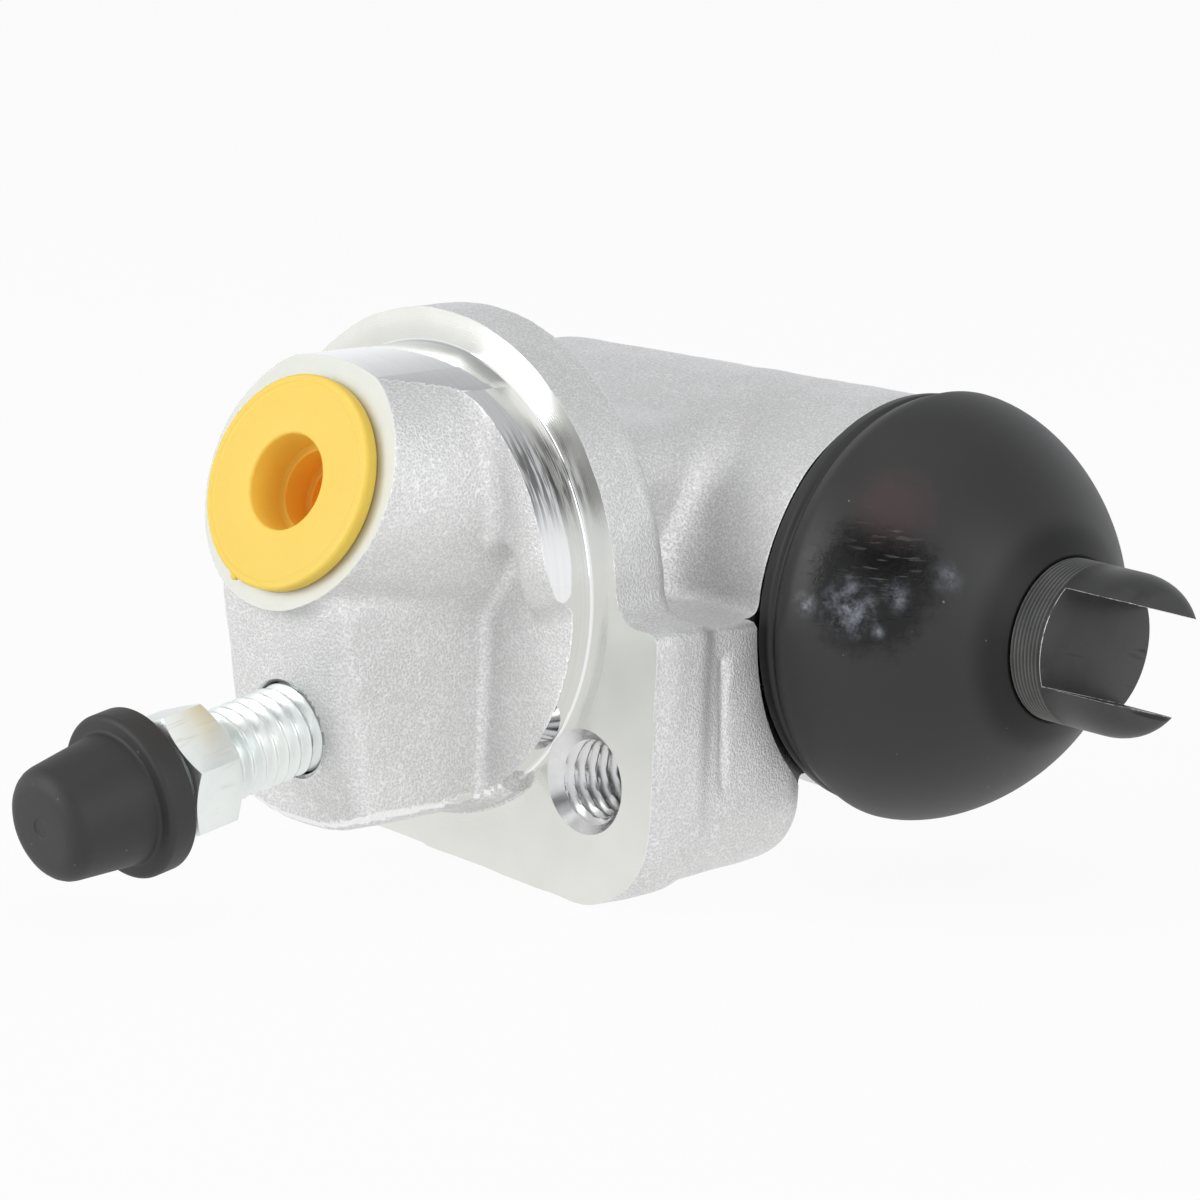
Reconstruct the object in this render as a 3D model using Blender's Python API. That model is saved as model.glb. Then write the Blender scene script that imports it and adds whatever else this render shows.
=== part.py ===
"""Single-piston wheel cylinder for a drum brake.

Frame: metres, +Z up. The origin is the centre of the turned pilot, on the mounting face.
-Y points out through the backing plate, +X along the bore towards the piston.
"""
import bpy
import bmesh
from math import acos, asin, atan2, cos, pi, radians, sin, tan
from mathutils import Matrix, Vector

MM = 0.001

# Facets on a full circle, and on a rounded corner
CAST_SEGMENTS = 64
TURNED_SEGMENTS = 48
SMALL_SEGMENTS = 32
WIRE_SEGMENTS = 8
CORNER_STEPS = 5
SHARP_ANGLE = radians(30.0)

# The casting has many touching faces, which the manifold solver keeps closed
CAST_SOLVER = "MANIFOLD"

# Clearances
REST_GAP = 0.3 * MM
RUNNING_GAP = 0.1 * MM

# Mounting flange
PILOT_RADIUS = 19.5 * MM
PILOT_LOW_STEP = 2.0 * MM
PILOT_HIGH_STEP = 4.9 * MM
PILOT_SPLIT_Z = -2.2 * MM
FLANGE_RADIUS = 22.5 * MM
FLANGE_THICKNESS = 6.1 * MM
LUG_SIDE_X = 27.3 * MM
LUG_TOP_Z = -0.4 * MM
LUG_BOTTOM_Z = -25.3 * MM
FLANGE_BOTTOM_RISE = 2.3 * MM
LUG_CORNER_RADIUS = 9.3 * MM
LUG_INNER_FILLET = 2.5 * MM
LUG_EDGE_RADIUS = 0.8 * MM

# Fixing screw holes, M8 tapping size with a wide countersink
SCREW_PITCH_RADIUS = 24.15 * MM
SCREW_ANGLES = (radians(-36.4), radians(-136.0))
TAPPED_RADIUS = 3.4 * MM
TAPPED_DEPTH = 16.0 * MM
COUNTERSINK_RADIUS = 4.45 * MM
COUNTERSINK_DEPTH = 1.3 * MM

# Thickening behind the flange round each tapped hole
LUG_BOSS_DEPTH = 20.0 * MM
LUG_BOSS_REACH = 10.6 * MM
LUG_BOSS_SETBACK = 0.9 * MM
LUG_BOSS_FOOT = 1.6 * MM
LUG_BOSS_DRAFT = 0.5 * MM
LUG_BOSS_ROUND = 3.0 * MM
LUG_BOSS_ROUND_STEPS = 3
LUG_BOSS_TOP_RADIUS = 1.0 * MM
LUG_BOSS_CORNER_RADIUS = 6.0 * MM
RIGHT_BOSS_TOP_Z = -0.8 * MM
LEFT_BOSS_TOP_Z = -6.4 * MM

# Barrel and bore
BORE_Y = 31.0 * MM
BORE_Z = -1.56 * MM
BORE_RADIUS = 11.9 * MM
BORE_BOTTOM_X = -16.0 * MM
BARREL_CLOSED_X = -21.0 * MM
BARREL_OPEN_X = 30.0 * MM
BARREL_CLOSED_RADIUS = 16.0 * MM
BARREL_SHOULDER_RADIUS = 17.4 * MM
BARREL_EDGE_RADIUS = 2.5 * MM
NECK_HALF_WIDTH = 15.0 * MM
NECK_HALF_HEIGHT = 13.0 * MM
NECK_CORNER_RADIUS = 5.0 * MM

# Groove at the open end that the boot's bead snaps into
BOOT_SEAT_X = 25.3 * MM
BOOT_GROOVE_RADIUS = 15.6 * MM
BOOT_GROOVE_WIDTH = 2.8 * MM
BARREL_LIP_RADIUS = 16.4 * MM

# Fluid inlet boss
INLET_X = 0.3 * MM
INLET_Y = -15.7 * MM
INLET_Z = 9.2 * MM
INLET_TILT_UP = radians(19.5)
INLET_TILT_SIDE = radians(2.4)
INLET_RADIUS = 10.6 * MM
INLET_FOOT_X = 0.5 * MM
INLET_FOOT_Z = 8.5 * MM
INLET_FOOT_RADIUS = 12.2 * MM
PORT_RADIUS = 5.5 * MM
PORT_DEPTH = 11.0 * MM
PORT_DRILL_RADIUS = 1.2 * MM
PORT_SEAT_LENGTH = 2.0 * MM

# Cast pockets in the pilot's upper pad, beside the inlet boss
POCKET_OUTER_X = 15.6 * MM
POCKET_TOP_Z = 4.7 * MM
POCKET_CORNER = 1.4 * MM

# Bleed boss
BLEED_Y = -15.7 * MM
BLEED_Z = -11.6 * MM
BLEED_TILT_DOWN = radians(10.0)
BLEED_BLOCK_FRONT_HALF = 7.6 * MM
BLEED_BLOCK_ROOT_HALF = 10.6 * MM
BLEED_BLOCK_TOP_Z = 1.4 * MM
BLEED_BLOCK_CORNER = 3.4 * MM
BLEED_BLOCK_BOTTOM_RADIUS = 20.2 * MM
BLEED_HOLE_DEPTH = 13.0 * MM

# Bleed screw, M8 with a 10 mm hexagon
BLEED_THREAD_RADIUS = 3.95 * MM
BLEED_HOLE_RADIUS = BLEED_THREAD_RADIUS + REST_GAP
BLEED_THREAD_OUT = 8.7 * MM
BLEED_THREAD_IN = 9.0 * MM
BLEED_THREAD_DEPTH = 0.7 * MM
BLEED_THREAD_CHAMFER = 0.3 * MM
BLEED_COLLAR_LENGTH = 0.4 * MM
BLEED_SEAT_LENGTH = 2.6 * MM
HEX_ACROSS_FLATS = 10.0 * MM
HEX_LENGTH = 4.9 * MM
HEX_CHAMFER = 0.5 * MM
HEX_TURN = radians(-12.0)
NIPPLE_NECK_RADIUS = 2.4 * MM
NIPPLE_NECK_LENGTH = 1.7 * MM
NIPPLE_RADIUS = 3.1 * MM
NIPPLE_LENGTH = 7.0 * MM
NIPPLE_BARB_RISE = 0.7 * MM
NIPPLE_BARB_LENGTH = 2.6 * MM
NIPPLE_TIP_RADIUS = 2.3 * MM
NIPPLE_BORE_RADIUS = 1.0 * MM

# Places along the bleed screw, from the block's face outwards
HEX_START = BLEED_THREAD_OUT + BLEED_COLLAR_LENGTH
HEX_END = HEX_START + HEX_LENGTH
NIPPLE_START = HEX_END + NIPPLE_NECK_LENGTH
NIPPLE_END = NIPPLE_START + NIPPLE_LENGTH

# Rubber cap on the nipple
CAP_RIM_RADIUS = 7.0 * MM
CAP_RIM_LENGTH = 2.6 * MM
CAP_BASE_RADIUS = 5.6 * MM
CAP_TIP_RADIUS = 4.8 * MM
CAP_LENGTH = 10.5 * MM
CAP_TIP_ROUND = 1.7 * MM
CAP_EDGE = 0.45 * MM
CAP_OVERLAP = 0.2 * MM

# Transit plug in the inlet
PLUG_FLANGE_RADIUS = 9.1 * MM
PLUG_FLANGE_THICKNESS = 1.0 * MM
PLUG_EDGE = 0.3 * MM
PLUG_SHANK_LENGTH = 9.0 * MM
PLUG_HOLE_RADIUS = 4.05 * MM
PLUG_STEP_RADIUS = 3.4 * MM
PLUG_STEP_DEPTH = 3.5 * MM
PLUG_END_RADIUS = 2.7 * MM
PLUG_END_DEPTH = 6.0 * MM
PLUG_FLOOR = 1.2 * MM
PLUG_LEAD_IN = 0.8 * MM

# Piston and slotted stem
PISTON_INNER_X = 9.0 * MM
PISTON_LENGTH = 19.0 * MM
PISTON_CHAMFER = 0.8 * MM
STEM_RADIUS = 6.9 * MM
STEM_SOCKET_DEPTH = 14.0 * MM
STEM_NECK_RADIUS = 6.3 * MM
STEM_NECK_WIDTH = 2.0 * MM
STEM_END_X = 53.8 * MM
STEM_END_RADIUS = 5.3 * MM
STEM_END_LENGTH = 3.0 * MM
SLOT_WIDTH = 8.3 * MM
SLOT_DEPTH = 6.5 * MM
SLOT_TURN = radians(-16.0)

# Cup seal, its expander and the return spring
CUP_THICKNESS = 3.5 * MM
CUP_LIP_LENGTH = 3.6 * MM
CUP_LIP_THICKNESS = 1.6 * MM
CUP_RELIEF = 0.3 * MM
CUP_ROOT = 0.6 * MM
CUP_CHAMFER = 0.4 * MM
EXPANDER_SHEET = 0.6 * MM
EXPANDER_RADIUS = 9.2 * MM
EXPANDER_COLLAR_RADIUS = 5.6 * MM
EXPANDER_COLLAR_LENGTH = 2.2 * MM
SPRING_WIRE_RADIUS = 0.6 * MM
SPRING_COIL_RADIUS = 7.4 * MM
SPRING_TURNS = 5.5
SPRING_STEPS_PER_TURN = 14

# Dust boot
BOOT_BEAD_RADIUS = 17.8 * MM
BOOT_BEAD_WIDTH = 2.3 * MM
BOOT_RADIUS = 18.5 * MM
BOOT_DOME_X = 29.3 * MM
BOOT_DOME_LENGTH = 17.0 * MM
BOOT_MOUTH_RADIUS = 7.6 * MM
BOOT_WALL = 1.7 * MM
BOOT_BLUNTNESS = 1.6
BOOT_SHOULDER = 0.6
BOOT_STEPS = 9


def direction(tilt_up, tilt_side):
    """Unit vector near -Y, tilted up (+Z) and sideways (+X)."""
    out = Vector((tan(tilt_side), -1.0, tan(tilt_up)))
    return out.normalized()


INLET_FACE = Vector((INLET_X, INLET_Y, INLET_Z))
INLET_AXIS = direction(INLET_TILT_UP, INLET_TILT_SIDE)
BLEED_EXIT = Vector((0.0, BLEED_Y, BLEED_Z))
BLEED_AXIS = direction(-BLEED_TILT_DOWN, 0.0)
BORE_CENTRE = Vector((0.0, BORE_Y, BORE_Z))
BORE_AXIS = Vector((1.0, 0.0, 0.0))
FACE_AXIS = Vector((0.0, -1.0, 0.0))


def clear_scene():
    for obj in list(bpy.data.objects):
        bpy.data.objects.remove(obj, do_unlink=True)


def material(name, colour, roughness, metallic):
    mat = bpy.data.materials.new(name)
    mat.use_nodes = True
    shader = mat.node_tree.nodes["Principled BSDF"]
    shader.inputs["Base Color"].default_value = (*colour, 1.0)
    shader.inputs["Roughness"].default_value = roughness
    shader.inputs["Metallic"].default_value = metallic
    return mat


def on_axis(point, axis, turn=0.0):
    """Placement whose local X runs along an axis through a point."""
    turned = Matrix.Rotation(turn, 4, "X")
    return Matrix.Translation(point) @ axis.to_track_quat("X", "Z").to_matrix().to_4x4() @ turned


def finish(name, bm, placement, mat=None):
    """Turn a bmesh into an object with its faces pointing out."""
    bmesh.ops.remove_doubles(bm, verts=bm.verts, dist=0.001 * MM)
    bmesh.ops.recalc_face_normals(bm, faces=bm.faces)
    mesh = bpy.data.meshes.new(name)
    bm.to_mesh(mesh)
    bm.free()
    mesh.shade_smooth()
    mesh.set_sharp_from_angle(angle=SHARP_ANGLE)
    obj = bpy.data.objects.new(name, mesh)
    obj.matrix_world = placement
    bpy.context.scene.collection.objects.link(obj)
    if mat:
        mesh.materials.append(mat)
    return obj


def turned(name, profile, placement, mat=None, segments=TURNED_SEGMENTS):
    """Solid of revolution about local X from a closed loop of (along, radius) points."""
    bm = bmesh.new()
    verts = [bm.verts.new((along, 0.0, radius)) for along, radius in profile]
    edges = [bm.edges.new((verts[i], verts[(i + 1) % len(verts)])) for i in range(len(verts))
             if profile[i][1] > 0.0 or profile[(i + 1) % len(profile)][1] > 0.0]
    bmesh.ops.spin(bm, geom=verts + edges, cent=(0, 0, 0), axis=(1, 0, 0),
                   angle=2.0 * pi, steps=segments, use_merge=True)
    return finish(name, bm, placement, mat)


def arc(centre_x, centre_y, radius, start, end, steps):
    """Points along a circular arc, both ends included."""
    return [(centre_x + radius * cos(start + (end - start) * i / steps),
             centre_y + radius * sin(start + (end - start) * i / steps)) for i in range(steps + 1)]


def rounded(corners, steps=CORNER_STEPS):
    """Closed outline of (x, z, corner radius) corners, each corner an arc."""
    outline = []
    for i, (x, z, radius) in enumerate(corners):
        corner = Vector((x, z))
        to_last = (Vector(corners[i - 1][:2]) - corner).normalized()
        to_next = (Vector(corners[(i + 1) % len(corners)][:2]) - corner).normalized()
        if radius <= 0.0:
            outline.append((x, z))
            continue
        half = acos(max(-1.0, min(1.0, to_last.dot(to_next)))) / 2.0
        centre = corner + (to_last + to_next).normalized() * (radius / sin(half))
        first = corner + to_last * (radius / tan(half)) - centre
        last = corner + to_next * (radius / tan(half)) - centre
        start = atan2(first.y, first.x)
        sweep = (atan2(last.y, last.x) - start + pi) % (2.0 * pi) - pi
        outline += arc(centre.x, centre.y, radius, start, start + sweep, steps)
    return outline


def quarter_ellipse(start, end, steps=CORNER_STEPS):
    """Points that leave start along X and meet end square to X."""
    angles = [0.5 * pi * i / steps for i in range(steps + 1)]
    return [(start[0] + (end[0] - start[0]) * sin(a), end[1] + (start[1] - end[1]) * cos(a)) for a in angles]


def loft(name, sections, mat=None):
    """Closed solid through outlines of (x, y, z) points with equal counts."""
    bm = bmesh.new()
    rings = [[bm.verts.new(point) for point in section] for section in sections]
    bm.faces.new(rings[0])
    bm.faces.new(rings[-1])
    for near, far in zip(rings, rings[1:]):
        for i in range(len(near)):
            j = (i + 1) % len(near)
            bm.faces.new((near[i], near[j], far[j], far[i]))
    return finish(name, bm, Matrix.Identity(4), mat)


def plate(name, outline, y_front, y_back, mat=None):
    """Outline in X and Z, extruded along Y."""
    front = [(x, y_front, z) for x, z in outline]
    back = [(x, y_back, z) for x, z in outline]
    return loft(name, [front, back], mat)


def combine(target, other, operation, solver="EXACT"):
    """Boolean with a helper solid that isn't itself part of the model."""
    modifier = target.modifiers.new(other.name, "BOOLEAN")
    modifier.operation = operation
    modifier.solver = solver
    modifier.object = other
    other.hide_render = True
    other.display_type = "WIRE"


def flange_outline():
    """Round top, square lower half with one lug that stands out to the right."""
    start = asin((LUG_TOP_Z + LUG_INNER_FILLET) / FLANGE_RADIUS) + pi / CAST_SEGMENTS
    round_top = arc(0.0, 0.0, FLANGE_RADIUS, start, pi, CAST_SEGMENTS // 2)
    left_bottom = LUG_BOTTOM_Z + FLANGE_BOTTOM_RISE
    fillet = arc(FLANGE_RADIUS + LUG_INNER_FILLET, LUG_TOP_Z + LUG_INNER_FILLET, LUG_INNER_FILLET,
                 1.5 * pi, pi, CORNER_STEPS)
    square = rounded([(-FLANGE_RADIUS, 0.0, 0.0),
                      (-FLANGE_RADIUS, left_bottom, LUG_CORNER_RADIUS),
                      (LUG_SIDE_X, LUG_BOTTOM_Z, LUG_CORNER_RADIUS),
                      (LUG_SIDE_X, LUG_TOP_Z, LUG_EDGE_RADIUS),
                      (FLANGE_RADIUS + LUG_INNER_FILLET, LUG_TOP_Z, 0.0)])
    return round_top + square[1:-1] + fillet


def screw_centre(angle):
    return Vector((SCREW_PITCH_RADIUS * cos(angle), 0.0, SCREW_PITCH_RADIUS * sin(angle)))


def lug_boss(name, angle, side_x, top_z, bottom_z):
    """Thickening behind the flange that carries a tapped hole, drafted and rounded at its back."""
    inward = -1.0 if side_x > 0.0 else 1.0
    left, right = sorted((screw_centre(angle).x + inward * LUG_BOSS_REACH, side_x))
    outline = rounded([(left, top_z, LUG_BOSS_TOP_RADIUS), (right, top_z, LUG_BOSS_TOP_RADIUS),
                       (right, bottom_z, LUG_BOSS_CORNER_RADIUS), (left, bottom_z, LUG_BOSS_CORNER_RADIUS)])
    middle_x, middle_z = (left + right) / 2.0, (top_z + bottom_z) / 2.0

    def section(y, inset):
        scale_x = 1.0 - 2.0 * inset / (right - left)
        scale_z = 1.0 - 2.0 * inset / (top_z - bottom_z)
        return [(middle_x + (x - middle_x) * scale_x, y, middle_z + (z - middle_z) * scale_z)
                for x, z in outline]

    back = quarter_ellipse((LUG_BOSS_DEPTH - LUG_BOSS_ROUND, -LUG_BOSS_DRAFT),
                           (LUG_BOSS_DEPTH, -LUG_BOSS_DRAFT - LUG_BOSS_ROUND), LUG_BOSS_ROUND_STEPS)
    sections = [section(FLANGE_THICKNESS / 2.0, 0.0)] + [section(y, -edge) for y, edge in back]
    return loft(name, sections)


def barrel():
    """Tapered round barrel with a closed end."""
    r = BARREL_EDGE_RADIUS
    closed_edge = arc(BARREL_CLOSED_X + r, BARREL_CLOSED_RADIUS - r, r, pi, 0.5 * pi, CORNER_STEPS)
    profile = [(BARREL_CLOSED_X, 0.0)] + closed_edge + [
        (BOOT_SEAT_X + REST_GAP, BARREL_SHOULDER_RADIUS),
        (BARREL_OPEN_X, BARREL_SHOULDER_RADIUS),
        (BARREL_OPEN_X, 0.0)]
    return turned("barrel", profile, on_axis(BORE_CENTRE, BORE_AXIS), segments=CAST_SEGMENTS)


def boot_seat_cutter():
    """Turned seat for the boot: a groove for its bead, a lip, and room round the bead."""
    chamfer = 0.5 * MM
    groove_end = BOOT_SEAT_X + BOOT_GROOVE_WIDTH
    beyond = BARREL_OPEN_X + MM
    profile = [(BOOT_SEAT_X, BOOT_BEAD_RADIUS + REST_GAP),
               (BOOT_SEAT_X, BOOT_GROOVE_RADIUS),
               (groove_end, BOOT_GROOVE_RADIUS),
               (groove_end, BARREL_LIP_RADIUS),
               (BARREL_OPEN_X - chamfer, BARREL_LIP_RADIUS),
               (BARREL_OPEN_X, BARREL_LIP_RADIUS - chamfer),
               (beyond, BARREL_LIP_RADIUS - chamfer),
               (beyond, BOOT_BEAD_RADIUS + REST_GAP)]
    return turned("boot_seat_cutter", profile, on_axis(BORE_CENTRE, BORE_AXIS), segments=CAST_SEGMENTS)


def bore_cutter():
    mouth = 1.0 * MM
    profile = [(BORE_BOTTOM_X, 0.0),
               (BORE_BOTTOM_X, BORE_RADIUS),
               (BARREL_OPEN_X - mouth, BORE_RADIUS),
               (BARREL_OPEN_X + mouth, BORE_RADIUS + 2.0 * mouth),
               (BARREL_OPEN_X + mouth, 0.0)]
    return turned("bore_cutter", profile, on_axis(BORE_CENTRE, BORE_AXIS), segments=CAST_SEGMENTS)


def front_bosses():
    """Everything that stands out through the backing plate, turned down to the pilot's radius."""
    low = turned("pilot_low", [(-FLANGE_THICKNESS / 2.0, 0.0), (-FLANGE_THICKNESS / 2.0, PILOT_RADIUS + MM),
                               (PILOT_LOW_STEP, PILOT_RADIUS + MM), (PILOT_LOW_STEP, 0.0)],
                 on_axis(Vector(), FACE_AXIS), segments=CAST_SEGMENTS)
    for boss in (pilot_pad(), inlet_boss()):
        combine(low, boss, "UNION", CAST_SOLVER)
    beyond = INLET_RADIUS - 2.0 * INLET_Y
    turning = turned("pilot_turning", [(-FLANGE_THICKNESS, 0.0), (-FLANGE_THICKNESS, PILOT_RADIUS),
                                       (beyond, PILOT_RADIUS), (beyond, 0.0)],
                     on_axis(Vector(), FACE_AXIS), segments=CAST_SEGMENTS + TURNED_SEGMENTS)
    combine(low, turning, "INTERSECT", CAST_SOLVER)
    combine(low, bleed_block(), "UNION", CAST_SOLVER)
    return low


def pilot_pad():
    """Upper, higher half of the pilot's front, with a cast pocket on each side of the inlet boss."""
    reach = PILOT_RADIUS + 2.0 * MM
    start = asin(PILOT_SPLIT_Z / reach)
    half_chord = reach * cos(start)
    top = arc(0.0, 0.0, reach, start, pi - start, CAST_SEGMENTS // 2)
    lower = rounded([(-half_chord, PILOT_SPLIT_Z, 0.0),
                     (-POCKET_OUTER_X, PILOT_SPLIT_Z, POCKET_CORNER),
                     (-POCKET_OUTER_X, POCKET_TOP_Z, POCKET_CORNER),
                     (-INLET_RADIUS, POCKET_TOP_Z, POCKET_CORNER),
                     (-INLET_RADIUS, PILOT_SPLIT_Z, 0.0),
                     (INLET_RADIUS, PILOT_SPLIT_Z, 0.0),
                     (INLET_RADIUS, POCKET_TOP_Z, POCKET_CORNER),
                     (POCKET_OUTER_X, POCKET_TOP_Z, POCKET_CORNER),
                     (POCKET_OUTER_X, PILOT_SPLIT_Z, POCKET_CORNER),
                     (half_chord, PILOT_SPLIT_Z, 0.0)])
    return plate("pilot_pad", top[:-1] + lower[:-1], -PILOT_HIGH_STEP, -PILOT_LOW_STEP / 2.0)


def inlet_boss():
    """Drafted boss that stands on the pad, its face cut square to the port."""
    foot = Vector((INLET_FOOT_X, -PILOT_HIGH_STEP, INLET_FOOT_Z))
    rise = INLET_FACE - foot
    slope = (INLET_FOOT_RADIUS - INLET_RADIUS) / rise.length
    back = -PILOT_HIGH_STEP - FLANGE_THICKNESS / 2.0
    front = rise.length + INLET_RADIUS
    profile = [(back, 0.0), (back, INLET_FOOT_RADIUS - slope * back),
               (front, INLET_FOOT_RADIUS - slope * front), (front, 0.0)]
    boss = turned("inlet_boss", profile, on_axis(foot, rise.normalized()), segments=CAST_SEGMENTS)
    beyond = 2.0 * INLET_RADIUS
    facing = turned("inlet_facing", [(0.0, 0.0), (0.0, beyond), (beyond, beyond), (beyond, 0.0)],
                    on_axis(INLET_FACE, INLET_AXIS), segments=CAST_SEGMENTS)
    combine(boss, facing, "DIFFERENCE", CAST_SOLVER)
    return boss


def bleed_block():
    """Block round the bleed screw: its front square to the screw, its sides drafted, its foot round."""
    def section(half, y_at):
        foot = asin(half / BLEED_BLOCK_BOTTOM_RADIUS)
        outline = arc(0.0, 0.0, BLEED_BLOCK_BOTTOM_RADIUS, 1.5 * pi - foot, 1.5 * pi + foot, 2 * CORNER_STEPS)
        outline += arc(half - BLEED_BLOCK_CORNER, BLEED_BLOCK_TOP_Z - BLEED_BLOCK_CORNER, BLEED_BLOCK_CORNER,
                       0.0, 0.5 * pi, CORNER_STEPS)
        outline += arc(BLEED_BLOCK_CORNER - half, BLEED_BLOCK_TOP_Z - BLEED_BLOCK_CORNER, BLEED_BLOCK_CORNER,
                       0.5 * pi, pi, CORNER_STEPS)
        return [(x, y_at(z), z) for x, z in outline]

    front = section(BLEED_BLOCK_FRONT_HALF, lambda z: BLEED_Y - tan(BLEED_TILT_DOWN) * (z - BLEED_Z))
    back = section(BLEED_BLOCK_ROOT_HALF, lambda z: FLANGE_THICKNESS / 4.0)
    return loft("bleed_block", [front, back])


def port_cutter():
    length = BORE_Y - INLET_Y
    profile = [(MM, 0.0), (MM, PORT_RADIUS), (-PORT_DEPTH, PORT_RADIUS),
               (-PORT_DEPTH - PORT_SEAT_LENGTH, PORT_DRILL_RADIUS), (-length, PORT_DRILL_RADIUS),
               (-length, 0.0)]
    return turned("port_cutter", profile, on_axis(INLET_FACE, INLET_AXIS), segments=CAST_SEGMENTS // 2)


def bleed_cutter():
    seat = BLEED_HOLE_RADIUS - PORT_DRILL_RADIUS
    length = BORE_Y - BLEED_Y - BORE_RADIUS / 2.0
    profile = [(MM, 0.0), (MM, BLEED_HOLE_RADIUS), (-BLEED_HOLE_DEPTH, BLEED_HOLE_RADIUS),
               (-BLEED_HOLE_DEPTH - seat, PORT_DRILL_RADIUS), (-length, PORT_DRILL_RADIUS), (-length, 0.0)]
    return turned("bleed_cutter", profile, on_axis(BLEED_EXIT, BLEED_AXIS), segments=CAST_SEGMENTS // 2)


def screw_cutter(name, angle):
    """Tapped hole with a wide countersink that nicks the pilot's edge."""
    profile = [(PILOT_HIGH_STEP + MM, 0.0), (PILOT_HIGH_STEP + MM, COUNTERSINK_RADIUS),
               (0.0, COUNTERSINK_RADIUS), (-COUNTERSINK_DEPTH, TAPPED_RADIUS),
               (-TAPPED_DEPTH, TAPPED_RADIUS), (-TAPPED_DEPTH - TAPPED_RADIUS / 2.0, 0.0)]
    return turned(name, profile, on_axis(screw_centre(angle), FACE_AXIS), segments=CAST_SEGMENTS // 2)


def make_body(mat):
    """Cast aluminium body: flange, lugs, neck, barrel and front bosses, then every bore."""
    body = plate("body", flange_outline(), 0.0, FLANGE_THICKNESS, mat)
    neck = plate("neck", rounded([(NECK_HALF_WIDTH, NECK_HALF_HEIGHT, NECK_CORNER_RADIUS),
                                  (-NECK_HALF_WIDTH, NECK_HALF_HEIGHT, NECK_CORNER_RADIUS),
                                  (-NECK_HALF_WIDTH, -NECK_HALF_HEIGHT, NECK_CORNER_RADIUS),
                                  (NECK_HALF_WIDTH, -NECK_HALF_HEIGHT, NECK_CORNER_RADIUS)]),
                 FLANGE_THICKNESS / 2.0, BORE_Y)
    right = lug_boss("right_lug", SCREW_ANGLES[0], LUG_SIDE_X - LUG_BOSS_SETBACK, RIGHT_BOSS_TOP_Z,
                     LUG_BOTTOM_Z + LUG_BOSS_FOOT)
    left = lug_boss("left_lug", SCREW_ANGLES[1], LUG_BOSS_SETBACK - FLANGE_RADIUS, LEFT_BOSS_TOP_Z,
                    LUG_BOTTOM_Z + FLANGE_BOTTOM_RISE + LUG_BOSS_FOOT)
    for solid in (neck, barrel(), right, left, front_bosses()):
        combine(body, solid, "UNION", CAST_SOLVER)
    cutters = [bore_cutter(), boot_seat_cutter(), port_cutter(), bleed_cutter()]
    cutters += [screw_cutter(f"screw_cutter_{i + 1}", angle) for i, angle in enumerate(SCREW_ANGLES)]
    for cutter in cutters:
        combine(body, cutter, "DIFFERENCE", CAST_SOLVER)
    return body


def make_piston(mat):
    radius = BORE_RADIUS - RUNNING_GAP
    socket = STEM_RADIUS + REST_GAP
    c = PISTON_CHAMFER
    outer_x = PISTON_INNER_X + PISTON_LENGTH
    floor_x = outer_x - STEM_SOCKET_DEPTH
    profile = [(PISTON_INNER_X, 0.0), (PISTON_INNER_X, radius - c), (PISTON_INNER_X + c, radius),
               (outer_x - c, radius), (outer_x, radius - c), (outer_x, socket + c),
               (outer_x - c, socket), (floor_x, socket), (floor_x, 0.0)]
    return turned("piston", profile, on_axis(BORE_CENTRE, BORE_AXIS), mat, CAST_SEGMENTS)


def make_stem(mat):
    """Slotted stem: the slot takes the shoe's web, the prongs end in a rounded taper."""
    inner_x = PISTON_INNER_X + PISTON_LENGTH - STEM_SOCKET_DEPTH + REST_GAP
    c = PISTON_CHAMFER
    neck_end = boot_mouth_x() + REST_GAP
    neck_start = neck_end - STEM_NECK_WIDTH
    taper = quarter_ellipse((STEM_END_X - STEM_END_LENGTH, STEM_RADIUS), (STEM_END_X, STEM_END_RADIUS))
    profile = [(inner_x, 0.0), (inner_x, STEM_RADIUS - c), (inner_x + c, STEM_RADIUS),
               (neck_start, STEM_RADIUS), (neck_start, STEM_NECK_RADIUS),
               (neck_end, STEM_NECK_RADIUS), (neck_end, STEM_RADIUS)] + taper + [(STEM_END_X, 0.0)]
    stem = turned("stem", profile, on_axis(BORE_CENTRE, BORE_AXIS), mat)
    slot = plate("stem_slot", [(0.0, -SLOT_WIDTH / 2.0), (SLOT_DEPTH + MM, -SLOT_WIDTH / 2.0),
                               (SLOT_DEPTH + MM, SLOT_WIDTH / 2.0), (0.0, SLOT_WIDTH / 2.0)],
                 -STEM_RADIUS - MM, STEM_RADIUS + MM)
    slot_floor = BORE_CENTRE + BORE_AXIS * (STEM_END_X - SLOT_DEPTH)
    slot.matrix_world = Matrix.Translation(slot_floor) @ Matrix.Rotation(SLOT_TURN, 4, "X")
    combine(stem, slot, "DIFFERENCE")
    return stem


def make_cup(mat):
    """Rubber cup seal, its lip facing the pressure side."""
    back_x = PISTON_INNER_X - REST_GAP
    face_x = back_x - CUP_THICKNESS
    lip_x = face_x - CUP_LIP_LENGTH
    outer = BORE_RADIUS - REST_GAP
    inner = outer - CUP_LIP_THICKNESS
    heel = outer - CUP_RELIEF
    profile = [(back_x, 0.0), (face_x, 0.0), (face_x, inner - CUP_ROOT), (lip_x, inner),
               (lip_x, outer), (face_x, heel), (back_x - CUP_CHAMFER, heel), (back_x, heel - CUP_CHAMFER)]
    return turned("piston_cup", profile, on_axis(BORE_CENTRE, BORE_AXIS), mat)


def expander_face_x():
    return PISTON_INNER_X - 2.0 * REST_GAP - CUP_THICKNESS


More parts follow.
